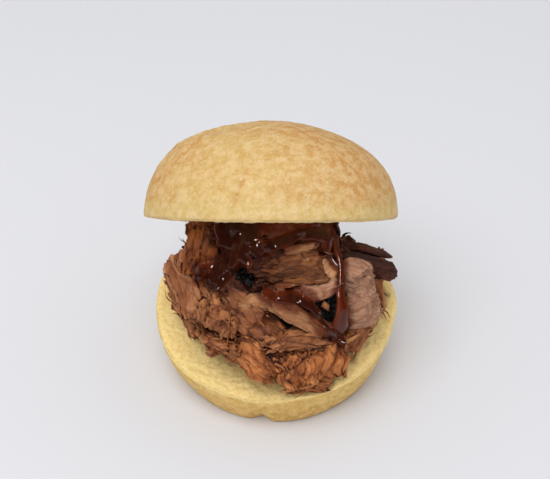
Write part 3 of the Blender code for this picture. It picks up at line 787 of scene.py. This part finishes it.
def torn_piece(batch, place, size, seed, tone, grain="x", step=BACK_STEP):
    """One torn piece of meat: a divided block pushed into shape, with fibres in relief."""
    start = Vector((seed * 5.7, seed * 2.3, seed * 8.1))
    order = GRAIN_ORDER[grain]
    strips = [size[axis] / step / (1.7 if axis == order[0] else 1) for axis in range(3)]
    bm = divided_cube([max(4, round(count)) for count in strips])
    cube = [v.co.copy() for v in bm.verts]
    rounding = SMOOTH_ROUNDING if is_smooth(tone) else TORN_ROUNDING
    for v in bm.verts:
        v.co = piece_form(v.co.copy(), size, seed, rounding)
    bm.normal_update()
    normals = [v.normal.copy() for v in bm.verts]
    rugged = SMOOTHER.get(tone, 1.0) * min(1.0, min(size) / (6 * MM))
    light, dark = TONES[tone]
    fibres, tones, crevice_shades = [], [], []
    for v, u, normal in zip(bm.verts, cube, normals):
        q = Vector([u[axis] * size[axis] for axis in order]) * 0.5 / MM
        q += rough_vector(q * 0.13 + start) * 1.1
        height, pit, flake = fibre_relief(q, start)
        v.co += normal * height * rugged * MM
        end = ease(abs(u[order[0]]), 0.72, 1.0)
        stub = noise.cell(Vector((0, q.y / 0.8, q.z / 0.8)) + start) * 1.1 * rugged
        v.co[order[0]] += math.copysign(end * (stub - 0.2) * MM, u[order[0]])
        share = 0.45 + 0.35 * flake + 0.40 * rough(q * 0.22 - start) + 0.20 * height
        fibres.append(q + start * 7)
        tones.append(dark.lerp(light, min(max(share, 0.0), 1.15)))
        crevice_shades.append(pit * min(1.0, rugged + 0.2))
    bm.transform(place)
    for index, v in enumerate(bm.verts):
        spot, sunk = in_gaps(v.co)
        v.co = press(spot)
        # Painted shade, darkest deep in a gap.
        crevice_shades[index] = max(crevice_shades[index], 1.3 * sunk)
    batch.add(bm, fibres, tones, crevice_shades)


def upright_tube(sides, cuts):
    """A closed tube of radius 1 from -0.5 to 0.5, cut into rings along its height."""
    bm = bmesh.new()
    bmesh.ops.create_cone(bm, cap_ends=True, segments=sides, radius1=1, radius2=1, depth=1)
    uprights = [e for e in bm.edges if abs(e.verts[0].co.z - e.verts[1].co.z) > 0.5]
    bmesh.ops.subdivide_edges(bm, edges=uprights, cuts=cuts)
    return bm


def strand(batch, pattern, root, along, up, length, radius, tone, seed):
    """A loose strand of meat that narrows and bends away from its root."""
    across = along.cross(up).normalized()
    up = across.cross(along)
    start = Vector((seed * 3.37, seed * 1.71, 0))
    bm = pattern.copy()
    fibres, crevice_shades = [], []
    for v in bm.verts:
        u = v.co.copy()
        share = u.z + 0.5
        bend = rough_vector(start + Vector((0, 0, share * 1.3))) * length * 0.5 * share
        lump = 1 + 0.6 * rough(start + Vector((u.x, u.y, share * 4)))
        thick = radius * (1 - 0.8 * share ** 3) * lump
        v.co = root + along * length * share + bend
        v.co = press(v.co + (across * u.x * 1.25 + up * u.y * 0.65) * thick)
        fibres.append(Vector((share * length, u.x * radius, u.y * radius)) / MM + start * 5)
        # Painted shade, darkest at the strand's root.
        crevice_shades.append(0.35 * (1 - share))
    batch.add(bm, fibres, [tone] * len(fibres), crevice_shades)


def loose_strands(batch, pattern, place, size, seed, tone, grain, count):
    """Small strands and flakes that stand off a piece along its grain."""
    chance = random.Random(seed * 31)
    axis = GRAIN_ORDER[grain][0]
    turn = place.to_3x3()
    light, dark = TONES[tone]
    for index in range(count):
        u = Vector([chance.uniform(-1, 1) for _ in range(3)])
        u.z = abs(u.z) * 1.3 - 0.3
        side = axis if index % 3 == 0 else chance.choice((0, 1, 2))
        u[side] = 1.0 if side == 2 else math.copysign(1, u[side])
        root = place @ (piece_form(u, size, seed) * 0.97)
        out = (root - place.translation).normalized()
        along = turn.col[axis] * math.copysign(1, u[axis])
        stray = Vector([chance.uniform(-1, 1) for _ in range(3)])
        along = (along + out * chance.uniform(0.05, 0.55) + stray * 0.35).normalized()
        length = (0.9 + 3.6 * chance.random() ** 2.2) * MM
        radius = chance.uniform(0.14, 0.42) * MM
        colour = dark.lerp(light, chance.uniform(0.2, 1.15))
        strand(batch, pattern, root - along * 0.3 * MM, along, out, length, radius, colour,
               seed * 100 + index)


def back_rows(batch, pattern):
    """Rows of pieces round the sides and the back, smaller where the halves close up."""
    chance = random.Random(BACK_SEED)
    seed = 40
    for rise, count, length, width, depth, proud in BACK_ROWS:
        for index in range(count):
            share = (index + 0.5 + chance.uniform(-0.2, 0.2)) / count
            bearing = BACK_FROM + (BACK_TO - BACK_FROM) * share
            closing = 1 - 0.45 * max(0.0, -math.cos(bearing))
            stretch = chance.uniform(0.8, 1.2)
            size = Vector((length * stretch, width * closing / stretch, depth * closing)) * MM
            slope = math.radians(chance.uniform(-50, 50))
            sunk = rise - BACK_SINK * max(0.0, math.sin(bearing))
            inset = proud - BACK_INSET * abs(math.sin(bearing))
            place = laid(bearing, sunk, inset + chance.uniform(-0.8, 0.8), slope)
            tone = ("brown", "russet", "umber", "rose")[seed % 4]
            torn_piece(batch, place, size, seed, tone)
            loose_strands(batch, pattern, place, size, seed, tone, "x", 14)
            seed += 1


def long_shreds(batch, pattern):
    """Thin shreds that lie on the heap and stick out of it a little."""
    chance = random.Random(SHRED_SEED)
    for index in range(SHREDS):
        bearing = math.tau * (index + chance.uniform(0, 0.8)) / SHREDS
        forward = max(0.0, math.cos(bearing))
        closing = max(0.0, -math.cos(bearing))
        rise = chance.uniform(0.15, 0.8)
        slope = math.radians(chance.uniform(-70, 70))
        dip = math.radians(chance.uniform(0, 22))
        length = SHRED_LENGTH * chance.uniform(0.7, 1.3) * (1 - 0.5 * closing)
        size = Vector((length, SHRED_THICKNESS, SHRED_THICKNESS)) * MM
        place = laid(bearing, rise, chance.uniform(0.2, 1.2) - 2.5 * (1 - forward), slope, dip)
        # Every fourth shred is painted near black as shadow.
        tone = ("brown", "russet", "brown", "hollow")[index % 4]
        torn_piece(batch, place, size, 80 + index, tone, step=0.22 * MM)
        if tone != "hollow":
            loose_strands(batch, pattern, place, size, 80 + index, tone, "x", 6)


def heap_core(batch):
    """The middle of the heap: a closed barrel behind the pieces, painted near black in front as
    shadow, and like torn meat round the sides and the back, where it shows between them."""
    bm = upright_tube(CORE_SIDES, CORE_CUTS)
    front = TONES["hollow"][0]
    light, dark = TONES["brown"][0], TONES["umber"][1]
    fibres, tones, crevice_shades = [], [], []
    for v in bm.verts:
        bearing = math.atan2(v.co.x, -v.co.y)
        rise = v.co.z + 0.5
        spot = heap_point(bearing, rise) / MM
        q = Vector(((spot.y + spot.z) * 0.7, spot.x, (spot.z - spot.y) * 0.7))
        height, pit, flake = fibre_relief(q, Vector((4.1, 2.2, 7.7)))
        behind = ease(abs(bearing) + 0.35 * (1 - rise), CORE_DARK_TO, CORE_MEAT_FROM)
        lumps = rough(spot / 4.5) * 1.3
        v.co = heap_point(bearing, rise, (height * 1.3 + lumps - CORE_SINK + 0.8 * behind) * MM)
        rear = dark.lerp(light, min(max(0.35 + 0.35 * flake + 0.4 * height, 0.0), 1.0))
        fibres.append(q)
        tones.append(front.lerp(rear, behind))
        crevice_shades.append(pit)
    batch.add(bm, fibres, tones, crevice_shades)


def front_piece(batch, row, seed):
    """A torn piece of the front from its row. Gives its place, size, tone and grain."""
    bearing, rise, proud, length, width, depth, slope, dip, tone, grain = row[1:]
    place = laid(math.radians(bearing), rise, proud, math.radians(slope), math.radians(dip))
    size = Vector((length, width, depth)) * MM
    torn_piece(batch, place, size, seed, tone, grain, FRONT_STEP)
    return place, size, tone, grain


def heap_batches():
    """All the meat: three batches of large pieces, then the back, and the loose strands."""
    pattern = upright_tube(STRAND_SIDES, STRAND_CUTS)
    left, middle, right, back, loose = [Batch() for _ in range(5)]
    for seed, row in enumerate(LARGE_PIECES, 1):
        batch = left if row[1] < -10 else middle if row[1] < 27 else right
        place, size, tone, grain = front_piece(batch, row, seed)
        if tone != "bark" and min(size) > 3 * MM:
            count = STRANDS_ON_SMOOTH if is_smooth(tone) else STRANDS_ON_TORN
            loose_strands(loose, pattern, place, size, seed, tone, grain, count)
    for seed, row in enumerate(SMALL_PIECES, 200):
        front_piece(loose, row, seed)
    for seed, (first, last, radius, tone) in enumerate(SINGLE_STRANDS, 5000):
        root, tip = [
            heap_point(math.radians(bearing), rise, proud * MM) for bearing, rise, proud in
            (first, last)
        ]
        along = tip - root
        out = skin_frame(math.radians(first[0]), first[1], 0, 0).col[2]
        strand(loose, pattern, root, along.normalized(), out, along.length, radius * MM,
               TONES[tone][0], seed)
    back_rows(back, pattern)
    long_shreds(loose, pattern)
    heap_core(back)
    pattern.free()
    return {
        "meat_left": left, "meat_middle": middle, "meat_right": right,
        "meat_back": back, "meat_shreds": loose,
    }


heap = heap_batches()


# ---- The sauce -----------------------------------------------------------------------------
# Thick barbecue sauce, dark and glossy, 0.3 to 2 mm deep: a coat over the top of the heap that
# ends in heavy drips on the left, a run along the tan strip, and a long string on the right
# that ends in a broad drop. Redder where it is thin.

SAUCE_LEFT = math.radians(-66)
SAUCE_RIGHT = math.radians(74)
SAUCE_LOW = 0.16
SAUCE_COLUMNS = 330
SAUCE_ROWS = 200
SKIN_WIDTH = 31.0                  # millimetres to a radian of bearing
SKIN_RISE = 48.0                   # millimetres to a rise of 1
RAY_START = 12 * MM                # outside the heap's skin
RAY_AIM = -8 * MM
RAY_REACH = 24 * MM
NO_MEAT_DEPTH = 14 * MM            # taken where a ray meets no meat
FILM_PASSES = 70
STRING_SIDES = 20
STRING_CUTS = 90
SAUCE_MIDDLING = (0.130, 0.020, 0.006)
SAUCE_DEEP = (0.028, 0.006, 0.003)
SAUCE_THIN = (0.25, 0.105, 0.062)
# Strokes of sauce: rows of (bearing in degrees, rise, half width and depth in millimetres).
SAUCE_STROKES = (
    ((-27, 1.0, 4.5, 1.4), (-26, 0.90, 4.3, 1.6), (-27, 0.80, 3.6, 1.5), (-31, 0.73, 2.8, 1.6),
     (-33, 0.68, 2.2, 1.7)),
    ((-21, 1.0, 5.0, 1.4), (-20, 0.90, 5.0, 1.5), (-22, 0.80, 3.2, 1.6), (-26, 0.71, 2.1, 1.8),
     (-28, 0.665, 1.8, 1.9)),
    ((-10, 1.0, 5.0, 1.1), (-11, 0.90, 4.8, 1.4), (-13, 0.83, 3.2, 1.5), (-14, 0.81, 2.2, 1.5)),
    ((-38, 0.72, 1.5, 1.0), (-42, 0.66, 1.3, 1.2)),
    ((-8, 0.85, 2.2, 1.5), (-6, 0.83, 1.6, 1.6), (-5, 0.81, 1.2, 1.6)),
    ((-6, 0.86, 2.2, 1.3), (4, 0.87, 1.7, 1.3), (12, 0.90, 1.6, 1.3), (19, 0.925, 1.6, 1.2),
     (28, 0.93, 2.0, 1.2), (37, 0.91, 2.2, 1.1), (42, 0.885, 2.0, 1.1)),
    ((-4, 0.97, 2.8, 0.5), (14, 0.97, 2.6, 0.25), (30, 0.975, 3.4, 0.35), (44, 0.97, 3.2, 0.8)),
    ((40, 0.86, 2.0, 1.0), (43, 0.78, 1.6, 1.2), (42, 0.73, 1.0, 1.2)),
    ((-4, 0.63, 0.8, 0.7), (2, 0.62, 1.0, 1.0), (8, 0.61, 1.2, 1.2), (14, 0.59, 1.4, 1.3),
     (18, 0.56, 1.5, 1.4), (21, 0.50, 1.1, 1.3), (22.5, 0.44, 0.8, 1.2), (25.5, 0.39, 0.8, 1.2),
     (29, 0.35, 1.1, 1.2)),
)
# The free-hanging string: bearing, rise, how proud, half width, all lengths in millimetres.
SAUCE_STRING = (
    (53, 0.97, 2.6, 1.6), (50, 0.90, 2.6, 1.4), (47.5, 0.80, 3.0, 1.1), (44.5, 0.72, 3.0, 1.0),
    (40, 0.65, 3.0, 1.0), (36.5, 0.59, 3.0, 1.2), (34.5, 0.53, 3.0, 1.6), (33, 0.47, 3.0, 2.2),
    (31.7, 0.42, 2.8, 2.8), (31, 0.37, 2.4, 3.0), (31.2, 0.325, 1.9, 2.2),
)


def levelled(film):
    """A film's depths, each as the mean of the four round it."""
    edged = numpy.pad(film, 1, mode="edge")
    return (edged[:-2, 1:-1] + edged[2:, 1:-1] + edged[1:-1, :-2] + edged[1:-1, 2:]) / 4


def sauce_depths(tree):
    """At each point of the grid: how far in the meat lies, and how far in a film stretched
    over it does, both from where the rays start."""
    bare = numpy.full((SAUCE_ROWS + 1, SAUCE_COLUMNS + 1), NO_MEAT_DEPTH)
    for row, column in numpy.ndindex(bare.shape):
        start, inward = sauce_ray(row, column)
        distance = tree.ray_cast(start, inward, RAY_REACH)[3]
        if distance is not None:
            bare[row, column] = distance
    film = bare.copy()
    for _ in range(FILM_PASSES):
        film = numpy.minimum(bare, levelled(film))
    return bare, levelled(film)


def sauce_spot(row, column):
    """The bearing and the rise of a point of the grid."""
    bearing = SAUCE_LEFT + (SAUCE_RIGHT - SAUCE_LEFT) * column / SAUCE_COLUMNS
    return bearing, SAUCE_LOW + (1 - SAUCE_LOW) * row / SAUCE_ROWS


def sauce_ray(row, column):
    """Where a ray onto the heap starts, outside its skin, and which way it goes."""
    bearing, rise = sauce_spot(row, column)
    start = heap_point(bearing, rise, RAY_START)
    return start, (heap_point(bearing, rise, RAY_AIM) - start).normalized()


def sauce_thickness():
    """The sauce's depth in metres at each point of the grid. It is under 0 outside it."""
    rows, columns = numpy.mgrid[0:SAUCE_ROWS + 1, 0:SAUCE_COLUMNS + 1]
    bearing, rise = sauce_spot(rows, columns)
    x, y = bearing * SKIN_WIDTH, rise * SKIN_RISE
    wander = numpy.array([
        [rough(Vector((a, b, 0)) * 0.30) for a, b in zip(xs, ys)] for xs, ys in zip(x, y)
    ])
    thick = numpy.full(x.shape, -3.0)
    for stroke in SAUCE_STROKES:
        for first, last in zip(stroke, stroke[1:]):
            ax, ay = math.radians(first[0]) * SKIN_WIDTH, first[1] * SKIN_RISE
            bx, by = math.radians(last[0]) * SKIN_WIDTH - ax, last[1] * SKIN_RISE - ay
            share = ((x - ax) * bx + (y - ay) * by) / (bx * bx + by * by)
            share = numpy.clip(share, 0, 1)
            width = first[2] + (last[2] - first[2]) * share
            depth = first[3] + (last[3] - first[3]) * share
            apart = numpy.hypot(x - ax - bx * share, y - ay - by * share)
            ratio = apart / (width * (1 + 0.28 * wander))
            dome = depth * numpy.sqrt(numpy.clip(1 - ratio * ratio, 0, 1))
            beyond = (1 - ratio) * width
            thick = numpy.maximum(thick, numpy.where(ratio < 1, dome, beyond))
    return thick * MM


def sauce_coat(tree):
    """The coat of sauce, as a fine sheet that dips into the meat round its edges."""
    bare, film = sauce_depths(tree)
    thick = sauce_thickness()
    bridged = numpy.clip(thick / (0.9 * MM) + 0.15, 0, 1)
    depth = bare + (film - bare) * bridged - thick
    bm = bmesh.new()
    bmesh.ops.create_grid(bm, x_segments=SAUCE_COLUMNS, y_segments=SAUCE_ROWS, size=1)
    depths = []
    for v in bm.verts:
        column = round((v.co.x + 1) / 2 * SAUCE_COLUMNS)
        row = round((v.co.y + 1) / 2 * SAUCE_ROWS)
        start, inward = sauce_ray(row, column)
        v.co = press(start + inward * float(depth[row, column]))
        depths.append(float(thick[row, column]) / MM)
    kept = dict(zip(bm.verts, depths))
    bare_faces = [face for face in bm.faces if max(kept[v] for v in face.verts) < -0.35]
    bmesh.ops.delete(bm, geom=bare_faces, context="FACES")
    bmesh.ops.smooth_vert(
        bm, verts=[v for v in bm.verts if kept[v] > 0.15], factor=0.5,
        use_axis_x=True, use_axis_y=True, use_axis_z=True,
    )
    return bm, [kept[v] for v in bm.verts]


def through(points, share):
    """A smooth course through rows of numbers, from the first at 0 to the last at 1."""
    place = share * (len(points) - 1)
    index = min(int(place), len(points) - 2)
    t = place - index
    a, b, c, d = (points[min(max(index + k, 0), len(points) - 1)] for k in (-1, 0, 1, 2))
    return [
        0.5 * (2 * q + (r - p) * t + (2 * p - 5 * q + 4 * r - s) * t * t
               + (3 * q - p - 3 * r + s) * t ** 3)
        for p, q, r, s in zip(a, b, c, d)
    ]


def sauce_string():
    """The string of sauce that hangs free on the right and ends in a broad drop."""
    bm = upright_tube(STRING_SIDES, STRING_CUTS)
    depths = []
    for v in bm.verts:
        u = v.co.copy()
        share = u.z + 0.5
        bearing, rise, proud, width = through(SAUCE_STRING, share)
        turn = skin_frame(math.radians(bearing), rise, 0, 0)
        close = math.sqrt(max(0.0, 1 - max(0.0, (share - 0.93) / 0.07) ** 2))
        lump = 1 + 0.16 * rough(Vector((share * 9, u.x * 0.5, u.y * 0.5)))
        width *= close * lump
        flat = min(1.0, 1.1 / max(width, 0.01)) * (0.6 + 0.4 * abs(u.x))
        middle = heap_point(math.radians(bearing), rise, proud * MM)
        v.co = press(middle + (turn.col[0] * u.x + turn.col[2] * u.y * flat) * width * MM)
        depths.append(1.0 - 0.7 * abs(u.x))
    bmesh.ops.recalc_face_normals(bm, faces=bm.faces)
    return bm, depths


def sauce_finish():
    made, shader, start = new_finish("barbecue sauce", {
        "Specular IOR Level": 0.22, "Subsurface Weight": 0.12, "Subsurface Scale": 1.2 * MM,
        "Subsurface Radius": (1.0, 0.25, 0.10),
    })
    spot = start.node("TexCoord", out=3)
    depth = start.mark("depth", 2) + spot.grain(420, 3) * 0.7 - 0.35
    deep = depth.above(0.15, 1.5)
    thin = (depth * -1).above(-0.45, 0.15)
    colour = (thin * 0.8).blend(deep.blend(SAUCE_MIDDLING, SAUCE_DEEP), SAUCE_THIN)
    grains = spot.grain(1300, 2)
    wire(shader, base_color=colour, roughness=0.05 + 0.09 * grains,
         normal=grains.bump(0.04 * MM, 0.4))
    return made


def tree_over(bms):
    """One search tree over the faces of several bmeshes."""
    points, faces = [], []
    for bm in bms:
        start = len(points)
        bm.verts.index_update()
        points += [v.co.copy() for v in bm.verts]
        faces += [[start + v.index for v in face.verts] for face in bm.faces]
    return BVHTree.FromPolygons(points, faces)


meat_tree = tree_over([batch.bm for batch in heap.values()])
coat, coat_depths = sauce_coat(meat_tree)
string, string_depths = sauce_string()
sauce_tree = tree_over([coat, string])
sauce = sauce_finish()
finished(coat, "sauce_coat", sauce, "brisket", {"depth": coat_depths})
finished(string, "sauce_string", sauce, "brisket", {"depth": string_depths})


# ---- The meat's surface --------------------------------------------------------------------
# Moist meat: each piece's tone with lighter and darker fibres, with painted shade in its splits,
# gaps and crevices, and darker and glossier where sauce has soaked in. The bread is stained with
# juice and painted with shade where it touches the meat.

# Where the meat is soaked without a coat: bearing, rise, radius in millimetres, strength.
SOAKED = (
    (-16, 0.74, 10.0, 1.0), (-4, 0.70, 7.0, 0.7), (6, 0.95, 10.0, 0.4), (40, 0.90, 9.0, 0.7),
    (33, 0.46, 6.0, 0.9), (-66, 0.80, 9.0, 0.5), (2, 0.64, 4.0, 0.6),
)
SOAK_REACH = 3.2 * MM              # how far sauce soaks from the coat's edge
# Directions round a point's normal that are tried for meat near it, and how far, for the painted
# shade.
SHADE_RAYS = ((0, 0), (1.2, 0.3), (-0.3, 1.2), (-1.2, -0.3), (0.3, -1.2))
SHADE_REACH = 5 * MM
STRAND_SHADE = 0.45                # share of its shade that a loose strand keeps
# The meat's tone is multiplied by these tints, by their marks. The tints for the splits and for
# the shade are painted shade.
STREAK_TINT = (0.62, 0.52, 0.46)
FIBRE_TINT = (0.60, 0.50, 0.44)
CREVICE_SHADE_TINT = (0.30, 0.15, 0.10)
SHADE_TINT = (0.20, 0.11, 0.08)
SOAKED_TINT = (0.27, 0.11, 0.065)
FAT = (0.74, 0.46, 0.24)
MEAT_BUMP = 0.24 * MM


def wetness(bm):
    """How far sauce has soaked into the meat, 0 to 1, at each point of a bmesh."""
    spots = [
        (heap_point(math.radians(bearing), rise), radius * MM, strength)
        for bearing, rise, radius, strength in SOAKED
    ]
    wet = []
    for v in bm.verts:
        distance = sauce_tree.find_nearest(v.co, 5 * MM)[3]
        soaked = 0.0 if distance is None else 1 - ease(distance, 0.1 * MM, SOAK_REACH)
        for centre, radius, strength in spots:
            share = 1 - ease((v.co - centre).length, 0.45 * radius, radius)
            soaked = max(soaked, share * strength)
        wet.append(soaked)
    return wet


def shade(bm):
    """How far each point of a bmesh is shut in by the meat round it, 0 to 1, for the painted
    shade.
    """
    bm.normal_update()
    shut = []
    for v in bm.verts:
        side = v.normal.orthogonal().normalized()
        other = v.normal.cross(side)
        start = v.co + v.normal * 0.2 * MM
        total = 0.0
        for across, along in SHADE_RAYS:
            way = (v.normal + side * across + other * along).normalized()
            distance = meat_tree.ray_cast(start, way, SHADE_REACH)[3]
            if distance is not None:
                total += 1 - distance / SHADE_REACH
        shut.append(total / len(SHADE_RAYS))
    return shut


def stain(bread, reach):
    """Marks where the bread touches the meat, for its juice stain and painted shade."""
    values = []
    for v in bread.data.vertices:
        distance = meat_tree.find_nearest(v.co, reach)[3]
        values.append(0.0 if distance is None else 1 - ease(distance, 0.1 * reach, reach))
    bread.data.attributes["stain"].data.foreach_set("value", values)


def meat_finish():
    made, shader, start = new_finish("pulled brisket", {
        "Specular IOR Level": 0.16, "Subsurface Weight": 0.06, "Subsurface Scale": 1.0 * MM,
        "Subsurface Radius": (1.0, 0.35, 0.18),
    })
    spot = start.node("TexCoord", out=3)
    fibre = start.mark("fibre", 1)
    streak = fibre.grain(1.6, 5, 0.65, (0.12, 1, 1)).above(0.32, 0.66)
    fine = fibre.grain(4.2, 3, 0.6, (0.12, 1, 1)).above(0.28, 0.72)
    fat = fibre.grain(0.75, 3, 0.5, (0.22, 1, 1)).above(0.66, 0.80)
    colour = start.mark("tone", 0).tint(STREAK_TINT, (1 - streak) * 0.52)
    colour = (fat * 0.35).blend(colour, FAT)
    colour = colour.tint(FIBRE_TINT, (1 - fine) * 0.48)
    # Painted shade: dark in the splits, gaps and crevices, and where the meat round a point shuts
    # it in.
    colour = colour.tint(CREVICE_SHADE_TINT, start.mark("pit", 2) * 0.85)
    colour = colour.tint(SHADE_TINT, start.mark("shade", 2).above(0.15, 0.85))
    soaked = (start.mark("wet", 2) + spot.grain(480, 3) * 0.7 - 0.35).above(0.15, 0.95)
    colour = colour.tint(SOAKED_TINT, soaked * 0.9)
    relief = streak * 0.7 + fine * 0.8
    wire(
        shader, base_color=colour, normal=relief.bump(MEAT_BUMP, 0.9),
        roughness=0.42 + 0.14 * (1 - fine) - 0.22 * soaked,
    )
    return made


meat = meat_finish()
for name, batch in heap.items():
    batch.marks["wet"] = wetness(batch.bm)
    strength = STRAND_SHADE if name == "meat_shreds" else 1.0
    batch.marks["shade"] = [shut * strength for shut in shade(batch.bm)]
    finished(batch.bm, name, meat, "brisket", batch.marks)
stain(heel, HEEL_STAIN_AND_SHADE_REACH)
stain(crown, CROWN_STAIN_AND_SHADE_REACH)


# ---- The studio ----------------------------------------------------------------------------
# A plain pale floor under soft light: a large overcast dome of light, a big softbox from the
# upper left, and two small lamps that only wet surfaces show, as small white glints.

CAMERA_PLACE = Vector((0, -313.62, 288.48)) * MM
CAMERA_DROP = math.radians(38.0)   # how far the camera looks down
IMAGE_WIDTH = 550
FOCAL_PIXELS = 1404.2              # focal length in widths of a pixel
SENSOR_WIDTH = 36.0
FLOOR_COLOURS = ((0.67, 0.67, 0.695), (0.69, 0.69, 0.715))
FLOOR_SIZE = 3
SKY_COLOUR = (0.97, 0.98, 1.0, 1)
SKY_STRENGTH = 0.80


def floor_finish():
    made, shader, start = new_finish("pale floor", {"Specular IOR Level": 0.2})
    spot = start.node("TexCoord", out=3)
    cloud = spot.grain(4, 2)
    wire(shader, base_color=cloud.blend(*FLOOR_COLOURS), roughness=0.7 + 0.1 * cloud)
    return made


def floor_piece():
    bm = bmesh.new()
    bmesh.ops.create_grid(bm, x_segments=2, y_segments=2, size=FLOOR_SIZE)
    mesh = bpy.data.meshes.new("floor")
    bm.to_mesh(mesh)
    bm.free()
    mesh.materials.append(floor_finish())
    floor = bpy.data.objects.new("floor", mesh)
    bpy.context.scene.collection.objects.link(floor)


def lamp(name, place, aim, size, power, glint=False):
    """A flat lamp. A glint is seen on wet surfaces alone, and any other lamp only lights."""
    light = bpy.data.lights.new(name, "AREA")
    light.shape = "RECTANGLE"
    light.size, light.size_y = size
    light.energy = power
    held = bpy.data.objects.new(name, light)
    held.location = place
    held.visible_glossy = glint
    held.visible_diffuse = not glint
    held.rotation_euler = (Vector(aim) - Vector(place)).to_track_quat("-Z", "Y").to_euler()
    bpy.context.scene.collection.objects.link(held)


def sky():
    world = bpy.data.worlds.new("studio")
    world.use_nodes = True
    glow = world.node_tree.nodes["Background"]
    glow.inputs["Color"].default_value = SKY_COLOUR
    glow.inputs["Strength"].default_value = SKY_STRENGTH
    world.cycles_visibility.glossy = False
    bpy.context.scene.world = world


def camera():
    view = bpy.data.cameras.new("camera")
    view.sensor_width = SENSOR_WIDTH
    view.lens = FOCAL_PIXELS * SENSOR_WIDTH / IMAGE_WIDTH
    view.clip_start = 10 * MM
    held = bpy.data.objects.new("camera", view)
    held.location = CAMERA_PLACE
    held.rotation_euler = (math.pi / 2 - CAMERA_DROP, 0, 0)
    bpy.context.scene.collection.objects.link(held)
    bpy.context.scene.camera = held


floor_piece()
sky()
lamp("softbox", (-0.18, -0.36, 0.84), (0, 0, 0.03), (0.60, 0.60), 4.4)
lamp("glint left", (-0.16, -0.42, 0.62), (0, 0, 0.04), (0.12, 0.16), 6.0, glint=True)
lamp("glint right", (0.30, -0.10, 0.60), (0, 0, 0.04), (0.10, 0.10), 3.5, glint=True)
camera()
bpy.context.scene.view_settings.view_transform = "Standard"
